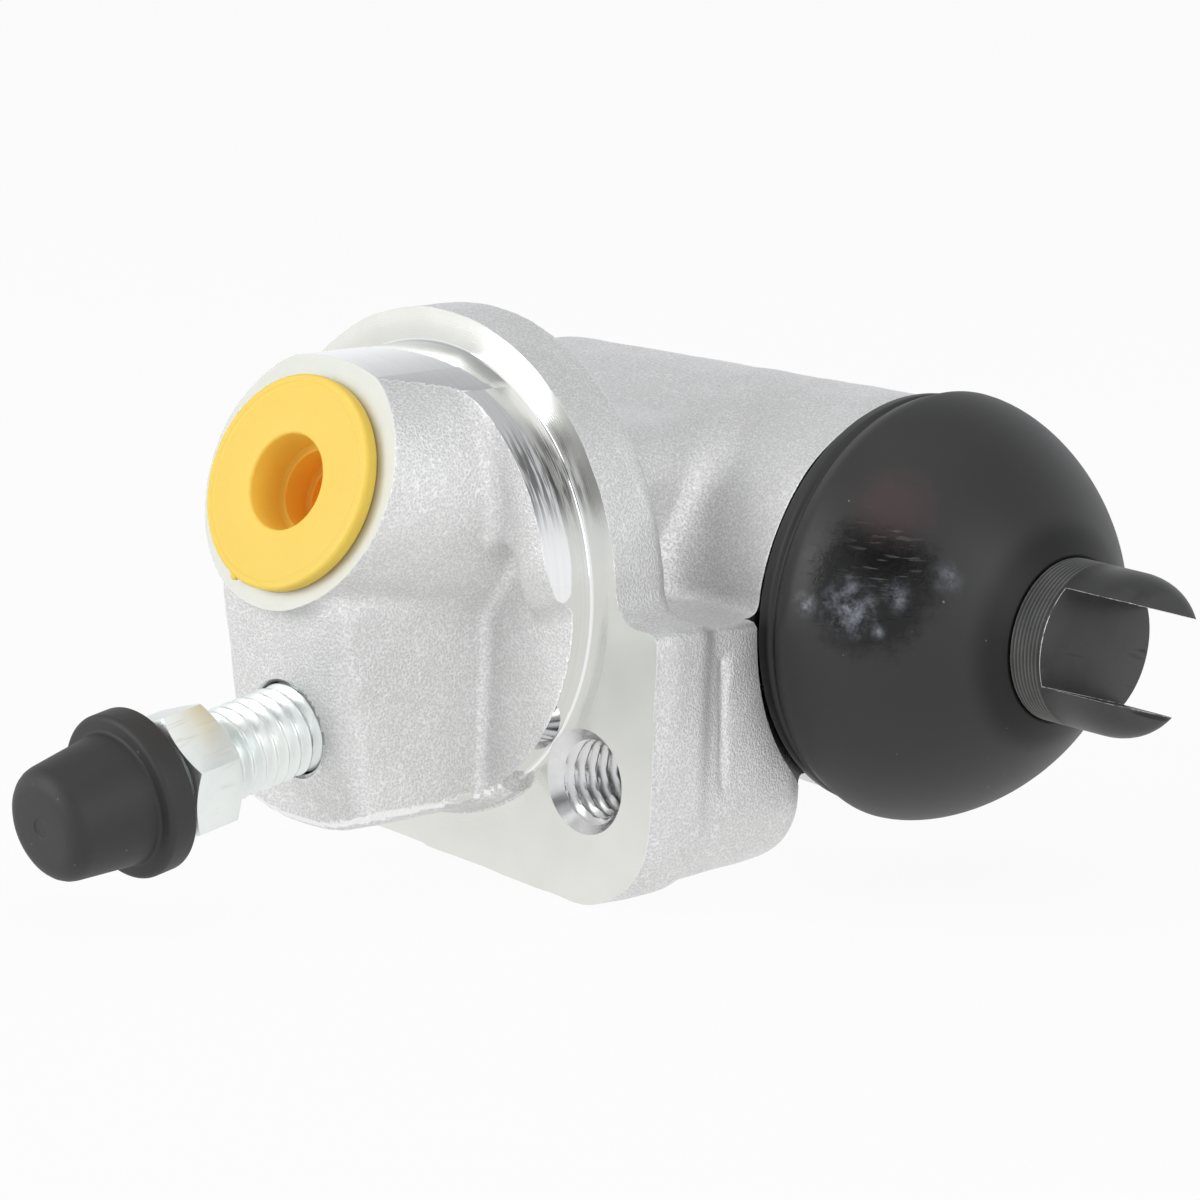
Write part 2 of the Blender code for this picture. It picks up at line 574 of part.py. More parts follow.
def make_expander(mat):
    """Pressed sheet disc that holds the cup's lip out and centres the spring."""
    face_x = expander_face_x()
    t = EXPANDER_SHEET
    collar_x = face_x - EXPANDER_COLLAR_LENGTH
    profile = [(face_x, EXPANDER_COLLAR_RADIUS - t), (face_x, EXPANDER_RADIUS),
               (face_x - t, EXPANDER_RADIUS), (face_x - t, EXPANDER_COLLAR_RADIUS),
               (collar_x, EXPANDER_COLLAR_RADIUS), (collar_x, EXPANDER_COLLAR_RADIUS - t)]
    return turned("cup_expander", profile, on_axis(BORE_CENTRE, BORE_AXIS), mat)


def make_spring(mat):
    """Coil spring between the bore's closed end and the expander."""
    start_x = BORE_BOTTOM_X + REST_GAP + SPRING_WIRE_RADIUS
    end_x = expander_face_x() - EXPANDER_SHEET - REST_GAP - SPRING_WIRE_RADIUS
    steps = int(SPRING_TURNS * SPRING_STEPS_PER_TURN)
    curve = bpy.data.curves.new("return_spring", "CURVE")
    curve.dimensions = "3D"
    spline = curve.splines.new("POLY")
    spline.points.add(steps)
    for i, point in enumerate(spline.points):
        angle = 2.0 * pi * i / SPRING_STEPS_PER_TURN
        x = start_x + (end_x - start_x) * i / steps
        point.co = (x, SPRING_COIL_RADIUS * cos(angle), SPRING_COIL_RADIUS * sin(angle), 1.0)
    curve.bevel_depth = SPRING_WIRE_RADIUS
    curve.bevel_resolution = WIRE_SEGMENTS // 4
    curve.use_fill_caps = True
    curve.materials.append(mat)
    spring = bpy.data.objects.new("return_spring", curve)
    spring.location = BORE_CENTRE
    bpy.context.scene.collection.objects.link(spring)
    return spring


def boot_dome(x, radius, length):
    """Radius of the boot's dome at x: blunter than an ellipse."""
    share = min(1.0, max(0.0, (x - BOOT_DOME_X) / length))
    return radius * (1.0 - share ** BOOT_BLUNTNESS) ** BOOT_SHOULDER


def boot_dome_end(radius, length, mouth):
    """The x where the dome has narrowed to the mouth."""
    return BOOT_DOME_X + length * (1.0 - (mouth / radius) ** (1.0 / BOOT_SHOULDER)) ** (1.0 / BOOT_BLUNTNESS)


def boot_mouth_x():
    return boot_dome_end(BOOT_RADIUS, BOOT_DOME_LENGTH, BOOT_MOUTH_RADIUS)


def dome_points(radius, length, mouth):
    end = boot_dome_end(radius, length, mouth)
    xs = [BOOT_DOME_X + (end - BOOT_DOME_X) * sin(0.5 * pi * i / BOOT_STEPS) for i in range(BOOT_STEPS + 1)]
    return [(x, boot_dome(x, radius, length)) for x in xs]


def make_boot(mat):
    """Rubber dust boot: a bead in the barrel's groove, a bulging dome and a lip on the stem."""
    seat_x = BOOT_SEAT_X + REST_GAP
    seat_end = BOOT_SEAT_X + BOOT_GROOVE_WIDTH - REST_GAP
    seat_radius = BOOT_GROOVE_RADIUS + REST_GAP
    lip_clear = BARREL_LIP_RADIUS + REST_GAP
    r = BOOT_BEAD_WIDTH / 3.0
    bead = arc(seat_x + r, BOOT_BEAD_RADIUS - r, r, pi, 0.5 * pi, 3)
    bead += arc(seat_x + BOOT_BEAD_WIDTH - r, BOOT_BEAD_RADIUS - r, r, 0.5 * pi, 0.2 * pi, 2)
    outer = dome_points(BOOT_RADIUS, BOOT_DOME_LENGTH, BOOT_MOUTH_RADIUS)
    inner = dome_points(BOOT_RADIUS - BOOT_WALL, BOOT_DOME_LENGTH - BOOT_WALL, BOOT_MOUTH_RADIUS + BOOT_WALL)
    stem_clear = STEM_NECK_RADIUS + REST_GAP
    mouth_x = outer[-1][0]
    lip_back = mouth_x - STEM_NECK_WIDTH + 2.0 * REST_GAP
    inner = [point for point in inner if point[0] < lip_back and point[1] <= lip_clear + BOOT_WALL]
    inner = [(BARREL_OPEN_X, lip_clear)] + [p for p in inner if p[0] > BARREL_OPEN_X + REST_GAP]
    profile = [(seat_x, seat_radius)] + bead + outer + [(mouth_x, stem_clear), (lip_back, stem_clear)]
    profile += list(reversed(inner)) + [(seat_end, lip_clear), (seat_end, seat_radius)]
    return turned("dust_boot", profile, on_axis(BORE_CENTRE, BORE_AXIS), mat)


def make_bleed_screw(mat):
    """Bleed screw: conical seat, threaded shank, hexagon and hose nipple."""
    tip = -BLEED_THREAD_IN - BLEED_SEAT_LENGTH
    root = BLEED_THREAD_RADIUS - BLEED_THREAD_DEPTH
    c = BLEED_THREAD_CHAMFER
    place = on_axis(BLEED_EXIT, BLEED_AXIS)
    profile = [(tip, 0.0), (tip, PORT_DRILL_RADIUS - REST_GAP), (-BLEED_THREAD_IN, root),
               (-BLEED_THREAD_IN, BLEED_THREAD_RADIUS - c), (c - BLEED_THREAD_IN, BLEED_THREAD_RADIUS),
               (BLEED_THREAD_OUT, BLEED_THREAD_RADIUS), (HEX_START, root),
               (HEX_START + HEX_LENGTH / 2.0, root), (HEX_END, NIPPLE_NECK_RADIUS),
               (NIPPLE_START, NIPPLE_NECK_RADIUS), (NIPPLE_START + NIPPLE_BARB_RISE, NIPPLE_RADIUS),
               (NIPPLE_START + NIPPLE_BARB_LENGTH, NIPPLE_RADIUS), (NIPPLE_END, NIPPLE_TIP_RADIUS),
               (NIPPLE_END, 0.0)]
    screw = turned("bleed_screw", profile, place, mat, SMALL_SEGMENTS)
    combine(screw, hexagon(), "UNION")
    drill = turned("nipple_bore", [(HEX_START, 0.0), (HEX_START, NIPPLE_BORE_RADIUS),
                                   (NIPPLE_END + MM, NIPPLE_BORE_RADIUS), (NIPPLE_END + MM, 0.0)],
                   place, segments=SMALL_SEGMENTS // 2)
    combine(screw, drill, "DIFFERENCE")
    return screw


def hexagon():
    """Hexagon with its corners turned off by a chamfer at both ends."""
    flat = HEX_ACROSS_FLATS / 2.0
    corner = flat / cos(pi / 6.0)
    clear = corner + REST_GAP
    place = on_axis(BLEED_EXIT, BLEED_AXIS, HEX_TURN)
    prism = turned("hexagon", [(HEX_START, 0.0), (HEX_START, corner), (HEX_END, corner), (HEX_END, 0.0)],
                   place, segments=6)
    chamfer = turned("hex_chamfer", [(HEX_START, 0.0), (HEX_START, flat), (HEX_START + HEX_CHAMFER, clear),
                                     (HEX_END - HEX_CHAMFER, clear), (HEX_END, flat), (HEX_END, 0.0)],
                     place, segments=TURNED_SEGMENTS)
    combine(prism, chamfer, "INTERSECT")
    return prism


def make_cap(mat):
    """Rubber dust cap pushed over the nipple."""
    rim_x = NIPPLE_START - CAP_OVERLAP
    base_x = rim_x + CAP_RIM_LENGTH
    tip_x = rim_x + CAP_LENGTH
    hole = NIPPLE_RADIUS + REST_GAP
    hole_end = NIPPLE_END + REST_GAP
    rim = arc(rim_x + CAP_EDGE, CAP_RIM_RADIUS - CAP_EDGE, CAP_EDGE, pi, 0.5 * pi, 2)
    rim += arc(base_x - CAP_EDGE, CAP_RIM_RADIUS - CAP_EDGE, CAP_EDGE, 0.5 * pi, 0.0, 2)
    tip = arc(tip_x - CAP_TIP_ROUND, CAP_TIP_RADIUS - CAP_TIP_ROUND, CAP_TIP_ROUND,
              0.5 * pi, 0.0, CORNER_STEPS)
    profile = [(rim_x, hole)] + rim + [(base_x, CAP_BASE_RADIUS)] + tip + [
        (tip_x, 0.0), (hole_end, 0.0), (hole_end, hole)]
    return turned("bleed_cap", profile, on_axis(BLEED_EXIT, BLEED_AXIS), mat, SMALL_SEGMENTS)


def make_plug(mat):
    """Soft plastic transit plug: a flange on the boss's face and a hollow stepped shank."""
    base = REST_GAP
    top = base + PLUG_FLANGE_THICKNESS
    shank = PORT_RADIUS - REST_GAP
    end = -PLUG_SHANK_LENGTH
    profile = [(base, shank), (base, PLUG_FLANGE_RADIUS), (top - PLUG_EDGE, PLUG_FLANGE_RADIUS),
               (top, PLUG_FLANGE_RADIUS - PLUG_EDGE), (top, PLUG_HOLE_RADIUS),
               (top - PLUG_STEP_DEPTH, PLUG_HOLE_RADIUS), (top - PLUG_STEP_DEPTH, PLUG_STEP_RADIUS),
               (top - PLUG_END_DEPTH, PLUG_STEP_RADIUS), (top - PLUG_END_DEPTH, PLUG_END_RADIUS),
               (end + PLUG_FLOOR, PLUG_END_RADIUS), (end + PLUG_FLOOR, 0.0), (end, 0.0),
               (end, shank - PLUG_LEAD_IN), (end + PLUG_LEAD_IN, shank)]
    return turned("inlet_plug", profile, on_axis(INLET_FACE, INLET_AXIS), mat, SMALL_SEGMENTS)


def main():
    clear_scene()
    make_body(material("cast_aluminium", (0.66, 0.66, 0.64), 0.45, 1.0))
    make_piston(material("anodised_piston", (0.55, 0.55, 0.56), 0.3, 1.0))
    make_stem(material("black_steel", (0.05, 0.05, 0.05), 0.4, 0.8))
    make_cup(material("cup_rubber", (0.02, 0.02, 0.02), 0.5, 0.0))
    make_expander(material("pressed_steel", (0.6, 0.58, 0.5), 0.35, 1.0))
    make_spring(material("spring_steel", (0.35, 0.35, 0.36), 0.3, 1.0))
    make_boot(material("boot_rubber", (0.03, 0.03, 0.032), 0.35, 0.0))
    make_bleed_screw(material("zinc_plate", (0.75, 0.77, 0.78), 0.3, 1.0))
    make_cap(material("cap_rubber", (0.04, 0.04, 0.042), 0.55, 0.0))
    make_plug(material("plug_plastic", (0.95, 0.62, 0.13), 0.45, 0.0))


main()
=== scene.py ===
# %% [markdown]
# # A drum brake's wheel cylinder
# The real object is an aluminium casting with a few milled and turned faces, a rubber boot, a slotted
# steel stem, a zinc-plated bleed screw with its cap, and a yellow plug in the fluid inlet.
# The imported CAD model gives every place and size. This lesson rebuilds each visible piece around it
# with the fillets, threads, edges and surfaces that a plain solid doesn't have.

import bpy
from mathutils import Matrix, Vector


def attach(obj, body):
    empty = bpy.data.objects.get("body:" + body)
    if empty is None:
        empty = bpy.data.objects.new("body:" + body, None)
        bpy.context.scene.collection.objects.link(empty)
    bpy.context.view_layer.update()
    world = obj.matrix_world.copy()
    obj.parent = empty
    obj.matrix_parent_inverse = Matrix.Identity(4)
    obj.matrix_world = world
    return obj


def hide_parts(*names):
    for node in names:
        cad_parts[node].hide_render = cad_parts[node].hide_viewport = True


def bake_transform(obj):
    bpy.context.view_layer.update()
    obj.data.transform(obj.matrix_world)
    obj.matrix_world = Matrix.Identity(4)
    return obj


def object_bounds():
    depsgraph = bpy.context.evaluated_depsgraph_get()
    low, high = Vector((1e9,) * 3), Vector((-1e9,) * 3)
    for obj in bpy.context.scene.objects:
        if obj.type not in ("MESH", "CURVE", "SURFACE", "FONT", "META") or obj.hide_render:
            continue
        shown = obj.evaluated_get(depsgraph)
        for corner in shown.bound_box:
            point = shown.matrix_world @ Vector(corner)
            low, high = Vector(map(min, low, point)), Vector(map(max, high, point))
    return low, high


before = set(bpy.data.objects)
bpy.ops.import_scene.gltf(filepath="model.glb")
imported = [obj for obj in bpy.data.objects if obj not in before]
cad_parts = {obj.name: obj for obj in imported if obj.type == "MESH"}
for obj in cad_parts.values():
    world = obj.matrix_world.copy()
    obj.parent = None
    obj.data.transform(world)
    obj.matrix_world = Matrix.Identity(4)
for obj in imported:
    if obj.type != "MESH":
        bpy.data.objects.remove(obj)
cad_box = [list(corner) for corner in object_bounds()]
print("box in mm:", [[round(value * 1000, 1) for value in corner] for corner in cad_box])

# %% Modules and units
from math import acos, atan2, cos, pi, radians, sin, tan
import bmesh
import bpy
import numpy as np
from mathutils import Matrix, Vector

MM = 0.001

# %% [markdown]
# ## The camera
# The photograph was taken from well in front of the stem and a little above it, with a long lens.
# The camera's place was solved from circles whose sizes are known, such as the pilot and the screw hole,
# so it is written down here as three directions and a point.

# %% Camera
CAMERA_PLACE = (0.30269, -0.27396, 0.08976)
CAMERA_RIGHT = (0.68980, 0.72299, 0.03828)
CAMERA_DOWN = (0.18469, -0.12459, -0.97487)
CAMERA_AHEAD = (-0.70005, 0.67953, -0.21947)
camera = bpy.data.objects.new("camera", bpy.data.cameras.new("camera"))
camera.data.sensor_width = 36.0
camera.data.lens = 147.825
camera.data.clip_start = 0.01
camera.data.clip_end = 20.0
columns = (Vector(CAMERA_RIGHT), -Vector(CAMERA_DOWN), -Vector(CAMERA_AHEAD))
camera.matrix_world = Matrix.Translation(CAMERA_PLACE) @ Matrix(columns).transposed().to_4x4()
bpy.context.scene.collection.objects.link(camera)
bpy.context.scene.camera = camera

# %% [markdown]
# ## Places that several pieces share
# The frame's origin is the centre of the turned pilot on the mounting face. X runs along the bore to the
# stem, -Y out through the backing plate, Z up. All lengths in this lesson are in millimetres, and a mesh
# is scaled to metres as it is made.

# %% Shared places and sizes
BORE = Vector((0.0, 31.0, -1.56))
INLET = Vector((0.3, -15.7, 9.2))
INLET_AXIS = Vector((tan(radians(2.4)), -1.0, tan(radians(19.5)))).normalized()
BLEED = Vector((0.0, -15.7, -11.6))
BLEED_AXIS = Vector((0.0, -1.0, -tan(radians(10.0)))).normalized()
SCREW_PITCH_RADIUS = 24.15
SCREW_ANGLES = (radians(-36.4), radians(-136.0))
SCREWS = [Vector((SCREW_PITCH_RADIUS * cos(a), 0.0, SCREW_PITCH_RADIUS * sin(a))) for a in SCREW_ANGLES]
PILOT_RADIUS = 19.5
COARSE_PITCH = 1.25


def along(point, axis, turn=0.0):
    """Placement whose local X runs along an axis through a point, in millimetres."""
    spin = Matrix.Rotation(turn, 4, "X")
    return Matrix.Translation(point) @ axis.to_track_quat("X", "Z").to_matrix().to_4x4() @ spin


ON_BORE = along(BORE, Vector((1.0, 0.0, 0.0)))
ON_INLET = along(INLET, INLET_AXIS)
ON_BLEED = along(BLEED, BLEED_AXIS)
OUTWARD = Vector((0.0, -1.0, 0.0))

# %% [markdown]
# ## Small mesh helpers
# A few helpers serve every piece. One makes an object from points and faces, one turns a profile about an
# axis like a lathe, and one runs a Boolean and keeps its result as a plain mesh. Edges sharper than a
# given angle stay crisp in the shading, and everything else is smooth.

# %% Mesh helpers
SHARP = radians(32.0)


def crisp(mesh, angle=SHARP):
    """Smooth shading that breaks at the edges sharper than an angle."""
    mesh.shade_smooth()
    mesh.set_sharp_from_angle(angle=angle)


def shape(name, points, faces, place=Matrix.Identity(4)):
    """An object from points in millimetres, its faces turned outwards."""
    mesh = bpy.data.meshes.new(name)
    mesh.from_pydata([tuple(point) for point in points], [], faces)
    mesh.transform(Matrix.Scale(MM, 4) @ place)
    grid = bmesh.new()
    grid.from_mesh(mesh)
    bmesh.ops.remove_doubles(grid, verts=grid.verts, dist=0.0005 * MM)
    bmesh.ops.recalc_face_normals(grid, faces=grid.faces)
    grid.to_mesh(mesh)
    grid.free()
    crisp(mesh)
    made = bpy.data.objects.new(name, mesh)
    bpy.context.scene.collection.objects.link(made)
    return made


def lathe(name, profile, place, segments=128):
    """A solid turned about local X from a closed loop of (along, radius) points."""
    rings, points = [], []
    for x, radius in profile:
        if radius < 1e-6:
            rings.append([len(points)] * segments)
            points.append((x, 0.0, 0.0))
        else:
            rings.append(list(range(len(points), len(points) + segments)))
            points += [(x, radius * sin(2 * pi * i / segments), radius * cos(2 * pi * i / segments))
                       for i in range(segments)]
    faces = []
    for near, far in zip(rings, rings[1:] + rings[:1]):
        if near[0] == near[1] and far[0] == far[1]:
            continue
        for i in range(segments):
            j = (i + 1) % segments
            faces.append(list(dict.fromkeys((near[i], near[j], far[j], far[i]))))
    return shape(name, points, faces, place)


def settle(piece):
    """Keep a piece's modifiers' result as its plain mesh."""
    graph = bpy.context.evaluated_depsgraph_get()
    result = bpy.data.meshes.new_from_object(piece.evaluated_get(graph))
    piece.modifiers.clear()
    piece.data = result
    return piece


def boolean(piece, other, operation="DIFFERENCE"):
    """Cut, join or trim a piece with another, which is used up."""
    modifier = piece.modifiers.new(operation, "BOOLEAN")
    modifier.operation = operation
    modifier.solver = "MANIFOLD"
    modifier.object = other
    settle(piece)
    bpy.data.objects.remove(other, do_unlink=True)
    return piece


def break_edges(piece, angle, width, material=-1):
    """Bevel the sharper edges a little. The new faces can take a material of their own."""
    bevel = piece.modifiers.new("broken_edges", "BEVEL")
    bevel.limit_method = "ANGLE"
    bevel.angle_limit = radians(angle)
    bevel.width = width * MM
    bevel.segments = 2
    bevel.material = material
    settle(piece)


def coat(piece, *materials):
    """Give a piece these materials and no others."""
    piece.data.materials.clear()
    for material in materials:
        piece.data.materials.append(material)


def rounded(corners, steps=6):
    """A profile whose corners (along, radius, fillet) are rounded; a zero fillet stays sharp."""
    outline = []
    for i, (x, y, fillet) in enumerate(corners):
        corner = Vector((x, y))
        if fillet <= 0.0:
            outline.append((x, y))
            continue
        back = (Vector(corners[i - 1][:2]) - corner).normalized()
        ahead = (Vector(corners[(i + 1) % len(corners)][:2]) - corner).normalized()
        half = acos(max(-1.0, min(1.0, back.dot(ahead)))) / 2.0
        centre = corner + (back + ahead).normalized() * (fillet / sin(half))
        first = corner + back * (fillet / tan(half)) - centre
        last = corner + ahead * (fillet / tan(half)) - centre
        start = atan2(first.y, first.x)
        sweep = (atan2(last.y, last.x) - start + pi) % (2.0 * pi) - pi
        outline += [(centre.x + fillet * cos(start + sweep * k / steps),
                     centre.y + fillet * sin(start + sweep * k / steps)) for k in range(steps + 1)]
    return outline


def count(piece):
    print(f"{piece.name}: {len(piece.data.polygons)} faces")


# %% [markdown]
# ## Node trees written as expressions
# Blender's materials and Geometry Nodes are both node trees, and both do their sums with Math nodes.
# A small class wraps a socket and overloads the Python operators, so `1 - mask * 0.4` builds the nodes.
# Any other node comes from one method that takes the node's type, its settings and its sockets.

# %% Node helpers
class Number:
    """A socket that holds a number. An expression on it adds Math nodes."""

    def __init__(self, graph, socket):
        self.graph = graph
        self.socket = socket

    def math(self, operation, *others):
        return self.graph.math(operation, self, *others)

    def __add__(self, other):
        return self.math("ADD", other)

    def __sub__(self, other):
        return self.math("SUBTRACT", other)

    def __mul__(self, other):
        return self.math("MULTIPLY", other)

    def __truediv__(self, other):
        return self.math("DIVIDE", other)

    def __rsub__(self, other):
        return self.graph.math("SUBTRACT", other, self)

    __radd__ = __add__
    __rmul__ = __mul__

    def clip(self, low, high):
        return self.math("MAXIMUM", low).math("MINIMUM", high)

    def fade(self, low, high):
        """0 below low, 1 above high, smooth between; the other way round if low is above high."""
        share = ((self - low) / (high - low)).clip(0.0, 1.0)
        return share * share * (3.0 - 2.0 * share)


class Graph:
    """A node tree that is built from nothing."""

    def __init__(self, tree):
        self.tree = tree
        tree.nodes.clear()

    def node(self, kind, settings=None, **sockets):
        """Add a node: its settings first, then its sockets by name or by index (as _0, _1 ...)."""
        made = self.tree.nodes.new(kind)
        for name, value in (settings or {}).items():
            setattr(made, name, value)
        for name, value in sockets.items():
            key = int(name[1:]) if name[0] == "_" else name.replace("_", " ")
            self.put(made.inputs[key], value)
        return made

    def put(self, socket, value):
        if isinstance(value, Number):
            value = value.socket
        if isinstance(value, bpy.types.NodeSocket):
            self.tree.links.new(value, socket)
        else:
            socket.default_value = value

    def math(self, operation, *values):
        sockets = {f"_{i}": value for i, value in enumerate(values)}
        return Number(self, self.node("ShaderNodeMath", {"operation": operation}, **sockets).outputs[0])

    def number(self, socket):
        return Number(self, socket)

    def vector(self, operation, output, *values):
        """One output of a Vector Math node."""
        sockets = {f"_{i}": value for i, value in enumerate(values)}
        return self.node("ShaderNodeVectorMath", {"operation": operation}, **sockets).outputs[output]

    def mix(self, factor, first, second):
        """One colour turning into another."""
        made = self.node("ShaderNodeMix", {"data_type": "RGBA"}, _0=factor, _6=first, _7=second)
        return made.outputs[2]


# %% [markdown]
# ## Materials
# A finish is a colour, a roughness and a fine relief, and all three change from place to place.
# Every material here reads Object coordinates in metres, so a grain of a quarter millimetre is a noise
# of scale 4000. The relief goes through Bump nodes, whose distance is the real depth.

# %% Material helpers
class Finish(Graph):
    """A material with one Principled shader, and its common patterns."""

    def __init__(self, name, **fixed):
        self.material = bpy.data.materials.new(name)
        self.material.use_nodes = True
        super().__init__(self.material.node_tree)
        self.shader = self.node("ShaderNodeBsdfPrincipled", None, **fixed)
        output = self.node("ShaderNodeOutputMaterial")
        self.tree.links.new(self.shader.outputs[0], output.inputs[0])
        self.place = self.node("ShaderNodeTexCoord").outputs["Object"]
        split = self.node("ShaderNodeSeparateXYZ", None, _0=self.place)
        self.x, self.y, self.z = (self.number(socket) for socket in split.outputs)

    def noise(self, scale, detail=2.0, rough=0.5, place=None):
        made = self.node("ShaderNodeTexNoise", None, Vector=place or self.place, Scale=scale,
                         Detail=detail, Roughness=rough)
        return self.number(made.outputs[0])

    def cells(self, scale):
        return self.number(self.node("ShaderNodeTexVoronoi", None, Vector=self.place, Scale=scale).outputs[0])

    def brushed(self, x, y, z, detail=2.0, rough=0.6):
        """Noise with a scale of its own along each axis, for marks that run one way."""
        made = self.node("ShaderNodeMapping", None, Vector=self.place, Scale=(x, y, z))
        return self.noise(1.0, detail, rough, made.outputs[0])

    def radius_about(self, centre, axis="X"):
        """Distance from a line along X or Y through a point in millimetres."""
        first = self.y - centre[1] * MM if axis == "X" else self.x - centre[0] * MM
        second = self.z - centre[2] * MM
        return (first * first + second * second).math("SQRT")

    def relief(self, height, depth, strength=1.0, under=None):
        """Bump of a real depth in millimetres, on top of another bump."""
        sockets = {"Height": height, "Distance": depth * MM, "Strength": strength}
        if under is not None:
            sockets["Normal"] = under
        return self.node("ShaderNodeBump", None, **sockets).outputs[0]

    def give(self, **sockets):
        for name, value in sockets.items():
            self.put(self.shader.inputs[name.replace("_", " ")], value)
        return self.material


def grey(value, warmth=0.0):
    return (value * (1.0 + warmth), value, value * (1.0 - warmth), 1.0)


# %% [markdown]
# ### Cast aluminium
# The casting was blasted with steel shot, so its skin is a field of tiny dents that each catch the light.
# Noise and fine cells make the dents, a slow noise makes the skin uneven, and a few dark pores are added.
# A mesh attribute named edge is 1 where cast skin meets a machined face: there the colour is lighter, partly
# metal rubbed bright and partly a painted edge highlight.
# The turned wall is nearly a mirror, with a band of dark streaks painted into its colour: painted
# reflections.

# %% Cast and machined aluminium
def cast_aluminium():
    skin = Finish("cast_aluminium", Metallic=0.85)
    grain = skin.noise(5600.0, 3.0, 0.75)
    dents = skin.cells(4600.0)
    slow = skin.noise(90.0, 2.0)
    pores = skin.noise(700.0, 1.0).fade(0.77, 0.82)
    edge = skin.number(skin.node("ShaderNodeAttribute", {"attribute_name": "edge"}).outputs["Fac"])
    # Lighter edge colour: partly metal rubbed bright, partly a painted highlight along the edge.
    rubbed_edge_and_highlight = (edge * (0.75 + grain * 0.5)).fade(0.35, 0.9)
    sparkle = (grain * 0.6 + dents * 0.5).fade(0.30, 0.85)
    tone = (sparkle * 0.55 + slow * 0.45).clip(0.0, 1.0)
    colour = skin.mix(tone, grey(0.56, 0.008), grey(0.97, 0.002))
    colour = skin.mix(pores * 0.35, colour, grey(0.35))
    colour = skin.mix(rubbed_edge_and_highlight, colour, grey(0.95))
    bump = skin.relief(slow, 0.12, 0.5)
    bump = skin.relief(grain + dents * 0.6, 0.065, 0.85, bump)
    return skin.give(Base_Color=colour, Roughness=0.56 - sparkle * 0.14 - rubbed_edge_and_highlight * 0.22, Normal=bump)


RING_WAVES = 26000.0
SHINY_RING = (0.0197, 0.0222)
# Bearing and spread of the band of painted dark reflections on the turned wall.
DARK_REFLECTION_BEARING = 0.62
DARK_REFLECTION_SPREAD = 0.30


def milled_face():
    face = Finish("milled_face", Metallic=1.0)
    radius = face.radius_about((0.0, 0.0, 0.0), "Y")
    rings = (radius * RING_WAVES).math("SINE")
    uneven = face.noise(160.0, 2.0)
    away = radius.fade(*SHINY_RING)
    colour = face.mix(uneven, (0.69, 0.70, 0.655, 1.0), (0.82, 0.82, 0.785, 1.0))
    bump = face.relief(rings, 0.003, 0.3)
    bump = face.relief(face.noise(900.0, 2.0), 0.008, 0.3, bump)
    return face.give(Base_Color=colour, Roughness=0.08 + away * 0.20 + uneven * 0.06, Normal=bump)


def inlet_satin():
    face = Finish("inlet_satin", Metallic=0.7)
    cloud = face.noise(350.0, 4.0, 0.65)
    fine = face.noise(2600.0, 2.0)
    colour = face.mix(cloud, (0.50, 0.515, 0.475, 1.0), (0.62, 0.63, 0.59, 1.0))
    bump = face.relief(fine, 0.012, 0.5)
    return face.give(Base_Color=colour, Roughness=0.46 + cloud * 0.12, Normal=bump)


def turned_bright():
    wall = Finish("turned_bright", Metallic=1.0)
    lines = wall.brushed(60.0, 5200.0, 60.0)
    colour = wall.mix(lines, grey(0.80), grey(0.93))
    # Painted reflection: at one bearing the wall's colour gets dark streaks that stand in for dark things
    # mirrored in it.
    bearing = wall.z.math("ARCTAN2", wall.x)
    dark_reflection_band = (bearing - DARK_REFLECTION_BEARING).math("ABSOLUTE").fade(DARK_REFLECTION_SPREAD, DARK_REFLECTION_SPREAD * 0.2)
    painted_dark_reflections = wall.brushed(160.0, 2400.0, 160.0, 3.0, 0.7).fade(0.40, 0.58)
    colour = wall.mix(painted_dark_reflections * dark_reflection_band * 0.82, colour, grey(0.10, 0.03))
    bump = wall.relief(lines, 0.002, 0.3)
    return wall.give(Base_Color=colour, Roughness=0.03 + lines * 0.05, Normal=bump)


def bored_hole():
    wall = Finish("bored_hole", Metallic=1.0)
    cloud = wall.noise(700.0, 2.0)
    colour = wall.mix(cloud, grey(0.62), grey(0.82))
    bump = wall.relief(cloud, 0.01, 0.3)
    return wall.give(Base_Color=colour, Roughness=0.20 + cloud * 0.12, Normal=bump)


CAST = cast_aluminium()
MILLED = milled_face()
TURNED = turned_bright()
SATIN = inlet_satin()
BORED = bored_hole()

# %% [markdown]
# ## The casting as a distance field
# A casting has no sharp inner corner: metal flows, so every boss grows out of its neighbour in a fillet.
# Fillets are hard to add to a mesh of Boolean solids, and easy in a distance field, where each form is a
# formula that says how far a point is from its surface, and a rounded union of two formulas is a fillet.
# The forms are sampled on a fine grid with numpy, and the surface is where the result crosses zero.

# %% Distance field helpers
FIELD_STEP = 0.42
FIELD_LOW = np.array((-24.0, -24.0, -27.5))
FIELD_HIGH = np.array((31.5, 50.0, 24.5))


def round_join(first, second, fillet):
    """Union with a concave fillet."""
    a = np.maximum(fillet - first, 0.0)
    b = np.maximum(fillet - second, 0.0)
    return np.maximum(fillet, np.minimum(first, second)) - np.sqrt(a * a + b * b)


def round_trim(first, second, radius):
    """Intersection with a convex rounded edge."""
    a = np.maximum(radius + first, 0.0)
    b = np.maximum(radius + second, 0.0)
    return np.minimum(-radius, np.maximum(first, second)) + np.sqrt(a * a + b * b)


def round_cut(first, second, radius):
    """The first form without the second, with a rounded rim."""
    return round_trim(first, -second, radius)


def span(value, low, high):
    """Distance from the slab between two values."""
    return np.maximum(low - value, value - high)


